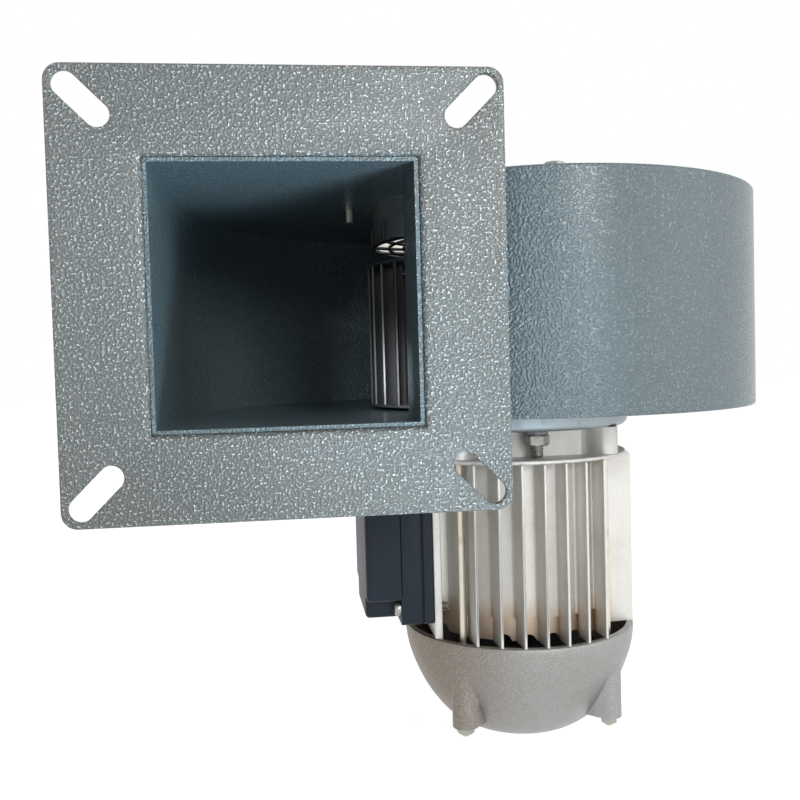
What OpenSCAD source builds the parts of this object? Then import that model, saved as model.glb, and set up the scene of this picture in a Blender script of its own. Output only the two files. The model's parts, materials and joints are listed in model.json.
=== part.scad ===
// Single-inlet centrifugal blower: a welded sheet scroll casing with a square
// outlet flange, a forward-curved impeller, and a finned aluminium motor that
// hangs below the casing on a mounting disc. Millimetres, +Z up.
// The origin is the middle of the outlet opening, on the front face of its
// flange. The outlet faces -Y, the inlet +Z, and the rotor turns
// counter-clockwise from above. Shapes are drawn from the shaft axis and the
// outer face of the inlet side plate, and from_shaft() puts them in place.

/* [Outlet flange] */
// Clear opening of the outlet, both ways
window = 100; // [94:0.5:106]
// Outer size of the square flange
flange_size = 165; // [158:1:180]
// Thickness of the flange plate
flange_t = 3; // [2:0.5:5]
// Radius of the flange's outer corners
flange_corner_r = 6; // [3:0.5:9]
// Distance between slot centres, both ways
slot_pitch = 140; // [136:0.5:144]
// Width of a corner slot
slot_w = 9; // [6:0.5:10]
// Straight run of a corner slot, between its end centres
slot_run = 15.5; // [8:0.5:16]
// Wall of the collar that the flange carries round the duct
collar_t = 2; // [1.5:0.5:3]
// How far the collar runs back along the duct
collar_depth = 8; // [5:0.5:14]

/* [Scroll casing] */
// Sheet thickness of the casing
sheet_t = 1.5; // [1:0.1:2]
// Radius of the first arc of the scroll, next to the tongue
scroll_r = 88.25; // [86:0.25:92]
// Growth of the scroll radius at each quarter turn
scroll_step = 20.5; // [18:0.5:23]
// Distance from the shaft axis to the face of the outlet flange
outlet_y = 110; // [106:1:125]
// Set-back of the duct's front edge behind the flange face
duct_setback = 2; // [1:0.5:2.5]
// Radius of the outside of the tongue fold
tongue_r = 4; // [2:0.5:6]
// Gap between the duct and the edge of the outlet opening
window_gap = 0.2; // [0.1:0.1:0.4]

/* [Inlet ring and guard] */
// Outer radius of the ring's collar
inlet_r = 67; // [60:0.5:68]
// Sheet thickness of the ring
ring_t = 1.2; // [1:0.1:1.6]
// Distance from the circle of ring screws to the edge of the ring
ring_margin = 7; // [5:0.5:9]
// Depth of the collar below the inlet side plate
ring_depth = 18.5; // [14:0.5:20]
// Distance from the collar to the circle of ring screws
ring_screw_gap = 12; // [11:0.5:14]
// Radius of a ring screw's shank
ring_screw_shank_r = 2.5; // [2:0.1:2.6]
// Radius of the clearance holes for the ring screws
ring_hole_r = 2.75; // [2.7:0.05:3]
// Height of the guard's bars
guard_h = 2; // [1.5:0.25:3]
// Width of the guard's bars
guard_bar = 1.6; // [1.2:0.1:2]
// Radial pitch of the guard's rings
guard_pitch = 7.2; // [6:0.1:9]
// Number of curved spokes in the guard
guard_spokes = 18; // [12:1:24]
// Turn of a spoke from its inner end to its outer end
guard_sweep = 38; // [20:1:45]
// Rise of the clips that grip the outside of the collar
clip_h = 9; // [6:0.5:12]

/* [Impeller] */
// Outer radius of the impeller
impeller_r = 71; // [66:0.5:74]
// Radial depth of the blades
blade_depth = 12; // [9:0.5:14]
// Length of the blades along the shaft
blade_h = 65; // [55:0.5:67]
// Number of blades
blade_count = 36; // [24:1:40]
// Thickness of a blade
blade_t = 0.8; // [0.6:0.1:1.2]
// Forward turn of a blade's outer edge
blade_sweep = 9; // [6:0.5:12]
// Thickness of the impeller's back plate and front ring
rim_t = 1.2; // [1:0.1:1.6]
// Clearance between the back plate and the motor side plate
impeller_gap = 1.7; // [1.2:0.1:4]
// Outer radius of the hub
hub_r = 13; // [11:0.5:18]
// Height of the hub above the back plate
hub_h = 22; // [16:0.5:30]

/* [Motor] */
// Radius of the mounting disc
disc_r = 55; // [53:0.5:58]
// Thickness of the mounting disc
disc_t = 8.5; // [5:0.5:10]
// Radius of the circle of mounting studs
stud_circle_r = 43; // [42:0.5:46]
// Radius of a mounting stud
stud_r = 3; // [2.5:0.5:3]
// Height of the neck between the disc and the finned housing
neck_h = 12.5; // [10:0.5:20]
// Distance from the neck's round wall out to the circle of rods
neck_step = 5.5; // [3.5:0.5:6]
// Distance from the axis to the neck's flats
neck_flat = 36.5; // [34:0.5:36.5]
// Thickness of the shield's rim
shield_rim_t = 2; // [1.5:0.5:3]
// Outer radius of the barrel between the fins
barrel_r = 44; // [42:0.5:47]
// Thickness of the barrel's wall
barrel_wall = 5; // [4:0.5:7]
// Height of the fins over the barrel
fin_h = 12; // [10:0.5:16]
// Length of the finned housing
housing_h = 81.5; // [70:0.5:100]
// Distance between neighbouring fins
fin_pitch = 10; // [9.5:0.1:10.2]
// Thickness of a fin at its tip
fin_t = 1.2; // [0.8:0.1:1.6]
// Thickness of a fin at its root
fin_root_t = 3; // [1.8:0.2:3.4]
// How far the fins run on below the barrel
fin_overhang = 10.5; // [8:0.5:12]
// Fins to each side of the middle one, front and back
fins_front = 3; // [2:1:3]
// Fins to each side of the middle one, on the sides
fins_side = 2; // [1:1:2]
// Gap between the barrel and the through rods
rod_gap = 2.5; // [2:0.25:4]
// Radius of a through rod
rod_r = 2; // [1.5:0.25:2]
// Radius of the bosses that the rods pass through
boss_r = 6.5; // [5.5:0.25:7]
// Radius of the rotor core
rotor_r = 24; // [20:0.5:26]
// Air gap between rotor and stator
air_gap = 0.4; // [0.3:0.05:1]
// Radius of the shaft
shaft_r = 6; // [5:0.5:7]
// Outer radius of the bearings
bearing_r = 16; // [14:0.5:17]
// Width of the bearings
bearing_w = 10; // [8:0.5:11]

/* [Fan cowl] */
// Depth of the cowl from its rim to its crown
cowl_h = 53.5; // [46:0.5:60]
// Wall of the cowl
cowl_t = 3; // [2:0.25:4]
// Depth of the cowl's rod bosses below the rim
cowl_boss_h = 40.5; // [36:0.5:44]
// Radius of the cooling fan
cooling_fan_r = 38; // [34:0.5:39]
// Number of cooling fan blades
cooling_blades = 8; // [6:1:12]
// Number of intake slots in the crown
intake_slots = 12; // [8:1:14]

/* [Terminal box] */
// Height of the box's seat over the barrel
seat_h = 2.7; // [1.5:0.1:4]
// Thickness of the seat plate
seat_t = 3.6; // [3:0.1:4.5]
// Distance from the seat's side edges to the box
seat_margin = 0.4; // [0:0.2:2]
// Distance from the top of the housing to the box
box_top_gap = 6; // [4:0.5:12]
// Distance from the bottom of the housing to the box
box_low_gap = 6.5; // [5:0.5:12]
// How much shorter the cover is at each end
cover_inset = 3.5; // [2:0.5:5]
// Depth of the base tray
base_d = 5.6; // [4:0.2:8]
// Depth of the cover's skirt, up to the screw seats
skirt_d = 9.8; // [8:0.2:12]
// Depth of the cover beyond the screw seats
cover_d = 16; // [12:0.5:26]
// Wall of the box
box_t = 2; // [1.6:0.1:3]
// Distance from the box's side to its screws
box_screw_inset = 4.4; // [4:0.1:5]
// Radius of a box screw's shank
box_screw_r = 2; // [1.5:0.25:2]

/* [Hidden] */
$fn = 96;
round_fn = 48;
small_fn = 24;

// Running clearance between the shaft and what turns on it
running_gap = 0.03;
// Clearance round screws, rods and studs
screw_gap = 0.25;
// Clearance round the shaft in the shields
shaft_gap = 1;
// Length of a cut that goes right through
through = 100;

// Casing: heights, and places that follow from the scroll
casing_w = window - 2 * window_gap;
floor_z = -casing_w;
outlet_z = -casing_w / 2;
half_step = scroll_step / 2;
duct_left = -(half_step + scroll_r + 3 * scroll_step);
duct_right = duct_left + casing_w;
outlet_x = (duct_left + duct_right) / 2;
flange_face = -outlet_y;
flange_back = flange_face + flange_t;
duct_front = flange_face + duct_setback;
// Each quarter of the scroll: centre, radius and start angle
quarters = [
    [half_step, -half_step, scroll_r, 180],
    [half_step, half_step, scroll_r + scroll_step, 270],
    [-half_step, half_step, scroll_r + 2 * scroll_step, 0],
    [-half_step, -half_step, scroll_r + 3 * scroll_step, 90],
];
// The fold of the tongue rolls round a circle that touches the duct and the first arc
tongue_lap = 1;
tongue_x = duct_right + tongue_r;
tongue_y = -half_step - sqrt(pow(scroll_r + tongue_r, 2) - pow(tongue_x - half_step, 2));
tongue_angle = atan2(tongue_y + half_step, tongue_x - half_step);

// Inlet ring and its screws
ring_screw_r = inlet_r + ring_screw_gap;
ring_flange_r = ring_screw_r + ring_margin;
ring_bend = 2;
ring_hole_gap = 0.5;
guard_top = -ring_depth;
guard_floor = guard_top - guard_h;
guard_rim_in = inlet_r - ring_t - 1.6;
guard_rim_out = inlet_r + guard_bar + 0.5;
guard_hub_r = 10;
guard_rings = floor((guard_rim_in - guard_hub_r) / guard_pitch);
ring_head_across = 8;
ring_head_h = 2.8;
ring_screw_l = 9;

// Impeller
back_z = floor_z + sheet_t + impeller_gap;
blade_z = back_z + rim_t;
ring_z = blade_z + blade_h;
blade_in_r = impeller_r - blade_depth;
hub_flange_w = 12;
hub_flange_t = 4;
hub_rivet_count = 6;
rivet_r = 2;
rivet_head_r = 3.5;
rivet_head_h = 1.6;
grub_r = 2.5;
grub_z = blade_z + hub_h / 2 + 3;

// Motor, from the casing downwards
disc_z = floor_z - disc_t;
neck_z = disc_z - neck_h;
shield_z = neck_z - shield_rim_t;
housing_z = shield_z - housing_h;
fin_tip_r = barrel_r + fin_h;
rod_circle_r = barrel_r + rod_gap + rod_r;
rod_xy = rod_circle_r * cos(45);
neck_r = rod_circle_r - neck_step;
bore_r = barrel_r - barrel_wall;
stator_r = bore_r;
seat_x = barrel_r + seat_h;
fin_sink = 1;
barrel_z = housing_z + fin_overhang;
spigot_h = 4;
spigot_t = 3;
winding_h = 10;
winding_gap = 1.5;
stator_h = shield_z - barrel_z - 2 * (spigot_h + winding_h + winding_gap);
core_z = barrel_z + spigot_h + winding_h + winding_gap;
front_bearing_z = neck_z - 1;
rear_hub_h = bearing_w + 3;
rear_plate_t = 5.3;
rear_plate_r = barrel_r - 0.5;
rear_bearing_z = barrel_z - 2;
rear_arches = 24;
arch_w = 7;
arch_depth = 4;
stator_slots = 24;
stator_slot_depth = 9;
stator_slot_w = 2.2;
end_ring_h = 4;
shaft_top = back_z + rim_t + hub_h + 3;
shaft_low = housing_z - cowl_h + 12;
disc_edge = 1.5;
nut_across = 10;
nut_h = 5;
seat_wall = 3.5;
lock_washer_h = 1.9;

// Cowl, measured from its rim at the housing's lower end
cowl_rim_z = housing_z;
cowl_crown_z = cowl_rim_z - cowl_h;
cowl_boss_z = cowl_rim_z - cowl_boss_h;
// Fractions of the rim radius and of the depth that the bowl's wall passes through
bowl = [
    [1, 0], [1.004, 0.06], [0.985, 0.2], [0.945, 0.335], [0.895, 0.46], [0.835, 0.58],
    [0.755, 0.7], [0.662, 0.81], [0.54, 0.9], [0.4, 0.96], [0.22, 1],
];
rod_nut_across = 7;
rod_nut_h = 3.2;
rod_end_z = cowl_boss_z - rod_nut_h - 1.4;
fan_top = housing_z - 8;
fan_plate_t = 1.8;
fan_hub_wall = 5;
clip_room = 2;
clip_t = 1.2;
clip_w = 2.5;
intake_r = 17;
intake_run = 10;
intake_w = 3.4;

// Terminal box, from the seat outwards along -X
seat_w = 2 * sqrt(pow(fin_tip_r, 2) - pow(seat_x, 2));
box_w = seat_w - 2 * seat_margin;
box_h = housing_h - box_top_gap - box_low_gap;
box_mid_z = shield_z - box_top_gap - box_h / 2;
base_x = -seat_x;
skirt_x = base_x - base_d;
screw_seat_x = skirt_x - skirt_d;
cover_x = screw_seat_x - cover_d;
cover_h = box_h - 2 * cover_inset;
screw_end_gap = 4;
screw_y = box_w / 2 - box_screw_inset;
screw_z = cover_h / 2 - screw_end_gap;
notch_y = 2 * box_screw_inset;
notch_z = 2 * screw_end_gap;
gasket_t = 0.8;
cable_hole_r = 5;
box_corner = 2.5;
cavity_corner = 1;
box_screw_tip = 3.4;
box_head_r = 3.5;
box_head_h = 3;
block_d = 8;
block_w = 18;
block_h = 12;
capacitor_r = 9.5;
capacitor_h = 34;
gland_across = 18;
gland_flange_t = 4;
gland_thread_r = 7.5;
gland_inside = 5;
gland_cap_r = 9;
gland_cap_h = 9;
cable_r = 4.5;
// The gland leaves the box through its far wall
gland_x = (skirt_x + cover_x) / 2;
gland_z = box_mid_z;

// ---- Shared shapes ----

// Children drawn from the shaft axis, put in place from the outlet
module from_shaft() {
    translate([-outlet_x, outlet_y, -outlet_z]) children();
}

// Rectangle with round corners, centred
module rounded_rect(w, h, r) {
    square([w - 2 * r, h], center = true);
    square([w, h - 2 * r], center = true);
    for (sx = [-1, 1]) for (sy = [-1, 1])
        translate([sx * (w / 2 - r), sy * (h / 2 - r)]) circle(r = r, $fn = round_fn);
}

// Obround, centred, along X
module obround(run, w) {
    square([run, w], center = true);
    for (s = [-1, 1]) translate([s * run / 2, 0]) circle(r = w / 2, $fn = round_fn);
}

// Flat ring
module tube(r_out, r_in, h) {
    difference() {
        cylinder(r = r_out, h = h);
        translate([0, 0, -1]) cylinder(r = r_in, h = h + 2);
    }
}

// Hexagonal prism by its width across flats
module hexagon(across, h) {
    cylinder(r = across / 2 / cos(30), h = h, $fn = 6);
}

// Nut with its bore
module nut(across, h, r) {
    difference() {
        hexagon(across, h);
        translate([0, 0, -1]) cylinder(r = r, h = h + 2, $fn = round_fn);
    }
}

// Children at the four corners of the rod square
module at_rods() {
    for (sx = [-1, 1]) for (sy = [-1, 1]) translate([sx * rod_xy, sy * rod_xy, 0]) children();
}

// Children on a circle at the four quarter points
module at_quarters(r) {
    for (a = [0 : 90 : 270]) rotate([0, 0, a]) translate([r, 0, 0]) children();
}

// ---- Casing ----

// One quarter disc of the scroll, drawn in by inset
module quarter(q, inset) {
    translate([q[0], q[1]]) intersection() {
        circle(r = q[2] - inset, $fn = 180);
        rotate(q[3]) square(q[2] + 10);
    }
}

// Outline of the scroll and the duct, drawn in by inset
module scroll_plan(inset) {
    for (q = quarters) quarter(q, inset);
    square(2 * scroll_step, center = true);
    translate([duct_left + inset, duct_front]) square([casing_w - 2 * inset, -half_step - duct_front]);
}

// Outline of the fold between the duct and the scroll, drawn in by inset
module tongue_plan(inset) {
    difference() {
        polygon([
            [tongue_x, tongue_y],
            [duct_right - inset - tongue_lap, tongue_y],
            [duct_right - inset - tongue_lap, -half_step],
            [
                half_step + (scroll_r - inset) * cos(tongue_angle),
                -half_step + (scroll_r - inset) * sin(tongue_angle)
            ],
        ]);
        translate([tongue_x, tongue_y]) circle(r = tongue_r + inset, $fn = round_fn);
    }
}

// Slab with the casing's outline, drawn in by inset, between two heights
module casing_slab(inset, low, high) {
    translate([0, 0, low]) linear_extrude(high - low) scroll_plan(inset);
    translate([0, 0, low]) linear_extrude(high - low) tongue_plan(inset);
}

module scroll_wrap() {
    from_shaft() color([0.42, 0.49, 0.53]) difference() {
        casing_slab(0, floor_z + sheet_t, -sheet_t);
        casing_slab(sheet_t, floor_z, 0);
        translate([duct_left + sheet_t, duct_front - 1, floor_z])
            cube([casing_w - 2 * sheet_t, sheet_t + 2, casing_w]);
    }
}

module inlet_side_plate() {
    from_shaft() color([0.42, 0.49, 0.53]) difference() {
        casing_slab(0, -sheet_t, 0);
        translate([0, 0, -sheet_t - 1])
            cylinder(r = inlet_r + ring_bend + ring_hole_gap, h = sheet_t + 2, $fn = 180);
        at_quarters(ring_screw_r)
            translate([0, 0, -sheet_t - 1]) cylinder(r = ring_hole_r, h = sheet_t + 2, $fn = round_fn);
    }
}

module motor_side_plate() {
    from_shaft() color([0.42, 0.49, 0.53]) difference() {
        casing_slab(0, floor_z, floor_z + sheet_t);
        translate([0, 0, floor_z - 1]) cylinder(r = bearing_r + 4, h = sheet_t + 2);
        at_quarters(stud_circle_r)
            translate([0, 0, floor_z - 1]) cylinder(r = stud_r, h = sheet_t + 2, $fn = round_fn);
    }
}

module outlet_flange() {
    from_shaft() color([0.46, 0.53, 0.54]) translate([outlet_x, flange_back, outlet_z]) rotate([90, 0, 0]) {
        linear_extrude(flange_t) difference() {
            rounded_rect(flange_size, flange_size, flange_corner_r);
            square(window, center = true);
            for (a = [45 : 90 : 315]) rotate(a) translate([slot_pitch / 2 * sqrt(2), 0])
                obround(slot_run, slot_w);
        }
        translate([0, 0, -collar_depth]) linear_extrude(collar_depth) difference() {
            square(casing_w + 2 * collar_t, center = true);
            square(casing_w, center = true);
        }
    }
}

// ---- Inlet ----

// The ring's profile: a flange that rolls down into a straight collar
module inlet_ring() {
    from_shaft() color([0.62, 0.64, 0.66]) difference() {
        rotate_extrude($fn = 180) {
            translate([inlet_r + ring_bend, 0]) square([ring_flange_r - inlet_r - ring_bend, ring_t]);
            translate([inlet_r - ring_t, -ring_depth]) square([ring_t, ring_depth - ring_bend + ring_t]);
            translate([inlet_r + ring_bend, ring_t - ring_bend - ring_t]) intersection() {
                difference() {
                    circle(r = ring_bend + ring_t, $fn = round_fn);
                    circle(r = ring_bend, $fn = round_fn);
                }
                translate([-ring_bend - ring_t, 0]) square(ring_bend + ring_t);
            }
        }
        at_quarters(ring_screw_r)
            translate([0, 0, -1]) cylinder(r = ring_hole_r, h = ring_t + 2, $fn = round_fn);
    }
}

// One curved bar of the guard, from r_in to r_out, turning by sweep
module spoke(r_in, r_out, sweep, w) {
    steps = 8;
    function at(i, side) = let(
        r = r_in + (r_out - r_in) * i / steps,
        a = sweep * i / steps
    ) [r * cos(a) - side * w / 2 * sin(a), r * sin(a) + side * w / 2 * cos(a)];
    polygon([
        for (i = [0 : steps]) at(i, -1),
        for (i = [steps : -1 : 0]) at(i, 1),
    ]);
}

module inlet_guard() {
    from_shaft() color([0.13, 0.14, 0.15]) {
        translate([0, 0, guard_floor]) {
            tube(guard_rim_out, guard_rim_in, guard_h);
            tube(guard_hub_r, guard_hub_r - 2 * guard_bar, guard_h);
            for (i = [1 : guard_rings]) {
                r = guard_rim_in - i * guard_pitch + guard_bar / 2;
                if (r > guard_hub_r + guard_bar) tube(r, r - guard_bar, guard_h);
            }
            for (k = [0 : guard_spokes - 1]) rotate([0, 0, k * 360 / guard_spokes])
                linear_extrude(guard_h)
                    spoke(guard_hub_r - guard_bar, guard_rim_in + ring_t, guard_sweep, guard_bar);
        }
        for (k = [0 : guard_spokes - 1])
            rotate([0, 0, guard_sweep + k * 360 / guard_spokes])
                translate([inlet_r, -guard_bar / 2, guard_floor + guard_h / 2])
                    cube([guard_bar, guard_bar, clip_h + guard_h / 2]);
    }
}

module inlet_ring_screws() {
    from_shaft() color([0.75, 0.76, 0.78]) at_quarters(ring_screw_r) {
        translate([0, 0, ring_t]) hexagon(ring_head_across, ring_head_h);
        translate([0, 0, ring_t - ring_screw_l])
            cylinder(r = ring_screw_shank_r, h = ring_screw_l + 1, $fn = small_fn);
    }
}

// ---- Motor mount ----

module mounting_disc() {
    from_shaft() color([0.66, 0.7, 0.73]) difference() {
        rotate_extrude() polygon([
            [bearing_r + 2, disc_z], [disc_r - disc_edge, disc_z], [disc_r, disc_z + disc_edge],
            [disc_r, floor_z], [bearing_r + 2, floor_z],
        ]);
        at_quarters(stud_circle_r)
            translate([0, 0, disc_z - 1]) cylinder(r = stud_r + screw_gap, h = disc_t + 2, $fn = round_fn);
    }
}

module mount_studs() {
    from_shaft() color([0.78, 0.79, 0.8]) at_quarters(stud_circle_r)
        translate([0, 0, neck_z + 0.4])
            cylinder(r = stud_r, h = floor_z + sheet_t - neck_z - 0.4, $fn = small_fn);
}

module mount_lock_washers() {
    from_shaft() color([0.3, 0.3, 0.31]) at_quarters(stud_circle_r)
        translate([0, 0, disc_z - lock_washer_h]) tube(5.2, stud_r, lock_washer_h, $fn = round_fn);
}

module mount_nuts() {
    from_shaft() color([0.78, 0.79, 0.8]) at_quarters(stud_circle_r)
        translate([0, 0, disc_z - lock_washer_h - nut_h]) rotate([0, 0, 18]) nut(nut_across, nut_h, stud_r);
}

// ---- Motor ----

// Plan of the neck: a round core with four flats, and a boss at each rod
module neck_plan() {
    intersection() {
        circle(r = neck_r);
        square(2 * neck_flat, center = true);
    }
    at_rods() circle(r = boss_r, $fn = round_fn);
}

module front_end_shield() {
    seat = front_bearing_z - bearing_w;
    from_shaft() color([0.62, 0.63, 0.63]) difference() {
        union() {
            translate([0, 0, neck_z]) linear_extrude(neck_h) neck_plan();
            translate([0, 0, shield_z]) cylinder(r = fin_tip_r - 2, h = shield_rim_t);
            translate([0, 0, shield_z - spigot_h]) tube(bore_r, bore_r - spigot_t, spigot_h + 1);
            translate([0, 0, seat]) cylinder(r = bearing_r + seat_wall, h = front_bearing_z - seat);
        }
        translate([0, 0, seat - 1]) cylinder(r = bearing_r, h = front_bearing_z - seat + 1);
        translate([0, 0, seat - 1]) cylinder(r = shaft_r + shaft_gap, h = through);
        at_quarters(stud_circle_r)
            translate([0, 0, shield_z - 1]) cylinder(r = stud_r + screw_gap, h = neck_h + 5, $fn = round_fn);
        at_rods() translate([0, 0, shield_z - 1]) cylinder(r = rod_r, h = neck_h, $fn = round_fn);
    }
}

// Distance along a chord of a circle from its middle to its end
function chord(r, offset) = sqrt(pow(r, 2) - pow(offset, 2));

// One fin, drawn upwards: as thin as fin_t at its tip and fin_root_t at the barrel
module fin(offset, tip) {
    root = chord(barrel_r, abs(offset) + fin_root_t / 2) - fin_sink;
    polygon([
        [offset - fin_t / 2, tip],
        [offset + fin_t / 2, tip],
        [offset + fin_root_t / 2, root],
        [offset - fin_root_t / 2, root],
    ]);
}

// Plan of the straight fins and of the box's seat
module fins_plan() {
    for (i = [-fins_front : fins_front]) {
        fin(i * fin_pitch, chord(fin_tip_r, i * fin_pitch));
        rotate(180) fin(i * fin_pitch, chord(fin_tip_r, i * fin_pitch));
    }
    for (i = [-fins_side : fins_side]) {
        rotate(-90) fin(i * fin_pitch, chord(fin_tip_r, i * fin_pitch));
        rotate(90) fin(i * fin_pitch, seat_x - fin_sink);
    }
    translate([-seat_x, -seat_w / 2]) square([seat_t, seat_w]);
}

module finned_housing() {
    from_shaft() color([0.72, 0.71, 0.68]) difference() {
        translate([0, 0, housing_z]) {
            cylinder(r = barrel_r, h = housing_h);
            linear_extrude(housing_h) fins_plan();
        }
        translate([0, 0, housing_z - 1]) cylinder(r = bore_r, h = housing_h + 2);
        translate([0, 0, housing_z - 1]) cylinder(r = barrel_r, h = fin_overhang + 1);
        for (sy = [-1, 1]) for (sz = [-1, 1])
            translate([-seat_x - 1, sy * screw_y, box_mid_z + sz * screw_z]) rotate([0, 90, 0])
                cylinder(r = box_screw_r, h = seat_t + 2, $fn = small_fn);
        translate([-seat_x - 1, 0, box_mid_z]) rotate([0, 90, 0])
            cylinder(r = cable_hole_r, h = seat_x - bore_r + 4, $fn = small_fn);
    }
}

module stator_core() {
    from_shaft() color([0.45, 0.46, 0.48]) translate([0, 0, core_z]) linear_extrude(stator_h) difference() {
        circle(r = stator_r);
        circle(r = rotor_r + air_gap);
        for (k = [0 : stator_slots - 1]) rotate(k * 360 / stator_slots)
            translate([rotor_r, -stator_slot_w / 2]) square([stator_slot_depth, stator_slot_w]);
    }
}

module stator_windings() {
    from_shaft() color([0.62, 0.34, 0.16]) for (z = [core_z + stator_h + 0.4, core_z - winding_h])
        translate([0, 0, z]) tube(stator_r - 3.4, rotor_r + 2.5, winding_h - 0.4);
}

module rear_end_shield() {
    skirt_h = barrel_z - rear_plate_t - cowl_rim_z;
    from_shaft() color([0.62, 0.63, 0.63]) difference() {
        union() {
            translate([0, 0, barrel_z - rear_plate_t]) cylinder(r = rear_plate_r, h = rear_plate_t);
            translate([0, 0, cowl_rim_z]) tube(rear_plate_r, rear_plate_r - spigot_t, skirt_h + 1);
            translate([0, 0, barrel_z - 1]) tube(bore_r, bore_r - spigot_t, spigot_h + 1);
            translate([0, 0, barrel_z - rear_hub_h]) cylinder(r = bearing_r + seat_wall, h = rear_hub_h);
        }
        translate([0, 0, rear_bearing_z - bearing_w]) cylinder(r = bearing_r, h = bearing_w + 20);
        translate([0, 0, barrel_z - rear_hub_h - 1]) cylinder(r = shaft_r + shaft_gap, h = through);
        for (k = [0 : rear_arches - 1]) if (k % 6 != 2 && k % 6 != 3)
            rotate([0, 0, 7.5 + k * 360 / rear_arches]) translate([rear_plate_r - arch_depth, -arch_w / 2, cowl_rim_z - 1])
                cube([arch_depth + 2, arch_w, skirt_h]);
    }
}

// Points of the bowl's wall, drawn in by inset
function bowl_points(inset) = [
    for (b = bowl) [fin_tip_r * b[0] - inset, cowl_rim_z - (cowl_h - inset) * b[1]]
];

module fan_cowl() {
    outer = bowl_points(0);
    inner = bowl_points(cowl_t);
    last = len(bowl) - 1;
    from_shaft() color([0.6, 0.6, 0.58]) difference() {
        union() {
            rotate_extrude($fn = 120) polygon(concat(outer, [[0, outer[last][1]], [0, cowl_rim_z]]));
            at_rods() translate([0, 0, cowl_boss_z])
                cylinder(r = boss_r - 0.5, h = cowl_rim_z - cowl_boss_z, $fn = round_fn);
        }
        difference() {
            rotate_extrude($fn = 120)
                polygon(concat([[inner[0][0], cowl_rim_z + 1]], inner, [[0, inner[last][1]], [0, cowl_rim_z + 1]]));
            at_rods() translate([0, 0, cowl_boss_z])
                cylinder(r = boss_r - 0.5, h = cowl_rim_z - cowl_boss_z, $fn = round_fn);
        }
        at_rods() translate([0, 0, cowl_boss_z - 1])
            cylinder(r = rod_r + screw_gap, h = cowl_boss_h + 2, $fn = round_fn);
        for (k = [0 : intake_slots - 1]) rotate([0, 0, k * 360 / intake_slots])
            translate([intake_r, 0, cowl_crown_z - 1])
                linear_extrude(cowl_t + 3) obround(intake_run, intake_w);
    }
}

module through_rods() {
    from_shaft() color([0.7, 0.66, 0.5]) at_rods() translate([0, 0, rod_end_z])
        cylinder(r = rod_r, h = neck_z + 6 - rod_end_z, $fn = small_fn);
}

module rod_nuts() {
    from_shaft() color([0.8, 0.8, 0.8]) at_rods() translate([0, 0, cowl_boss_z - rod_nut_h])
        rotate([0, 0, 12]) nut(rod_nut_across, rod_nut_h, rod_r);
}

module bearing() {
    tube(bearing_r, shaft_r + running_gap, bearing_w);
}

module front_bearing() {
    from_shaft() color([0.7, 0.7, 0.72]) translate([0, 0, front_bearing_z - bearing_w]) bearing();
}

module rear_bearing() {
    from_shaft() color([0.7, 0.7, 0.72]) translate([0, 0, rear_bearing_z - bearing_w]) bearing();
}

module preload_washer() {
    from_shaft() color([0.4, 0.4, 0.42])
        translate([0, 0, rear_bearing_z]) tube(bearing_r - 0.5, bearing_r - 4, 0.8);
}

// ---- Terminal box ----

// Slab between two distances along -X, with a height and round corners
module box_slab(x_near, x_far, w, h, r) {
    translate([x_near, 0, box_mid_z]) rotate([0, -90, 0]) linear_extrude(x_near - x_far)
        rounded_rect(h, w, r);
}

// Bores for the four screws
module box_screw_bores(x_near, x_far, r) {
    for (sy = [-1, 1]) for (sz = [-1, 1])
        translate([x_far, sy * screw_y, box_mid_z + sz * screw_z]) rotate([0, 90, 0])
            cylinder(r = r, h = x_near - x_far, $fn = small_fn);
}

module terminal_base() {
    from_shaft() color([0.12, 0.14, 0.18]) difference() {
        union() {
            difference() {
                box_slab(base_x, skirt_x + gasket_t, box_w, box_h, box_corner);
                box_slab(base_x - box_t, skirt_x - 1, box_w - 2 * box_t, box_h - 2 * box_t, cavity_corner);
            }
            intersection() {
                box_screw_bores(base_x, skirt_x + gasket_t, box_screw_inset);
                box_slab(base_x, skirt_x + gasket_t, box_w, box_h, box_corner);
            }
        }
        box_screw_bores(base_x + 1, skirt_x - 1, box_screw_r + screw_gap);
        translate([base_x - 10, 0, box_mid_z]) rotate([0, 90, 0])
            cylinder(r = cable_hole_r, h = 20, $fn = small_fn);
    }
}

module terminal_gasket() {
    from_shaft() color([0.08, 0.08, 0.08]) difference() {
        box_slab(skirt_x + gasket_t, skirt_x, box_w - 1, box_h - 1, box_corner - 0.5);
        box_slab(skirt_x + 1.8, skirt_x - 1, box_w - 2 * box_t, box_h - 2 * box_t, cavity_corner);
        box_screw_bores(skirt_x + 1.8, skirt_x - 1, box_screw_r + screw_gap);
    }
}

module terminal_cover() {
    cavity_x = cover_x + box_t;
    from_shaft() color([0.12, 0.14, 0.18]) difference() {
        union() {
            box_slab(skirt_x, screw_seat_x, box_w, box_h, box_corner);
            box_slab(screw_seat_x, cover_x, box_w, cover_h, box_corner);
        }
        difference() {
            box_slab(skirt_x + 1, cavity_x, box_w - 2 * box_t, cover_h - 2 * box_t, cavity_corner);
            for (sy = [-1, 1]) for (sz = [-1, 1])
                translate([cover_x, sy * box_w / 2, box_mid_z + sz * cover_h / 2])
                    translate([0, -notch_y - box_t, -notch_z - box_t])
                        cube([cover_d + skirt_d, 2 * (notch_y + box_t), 2 * (notch_z + box_t)]);
        }
        for (sy = [-1, 1]) for (sz = [-1, 1])
            translate([cover_x - 1, sy * box_w / 2 - notch_y, box_mid_z + sz * cover_h / 2 - notch_z])
                cube([cover_d + 1, 2 * notch_y, 2 * notch_z]);
        box_screw_bores(skirt_x + 1, screw_seat_x - 1, box_screw_r + screw_gap);
        gland_bore(gland_thread_r + screw_gap);
    }
}

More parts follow.
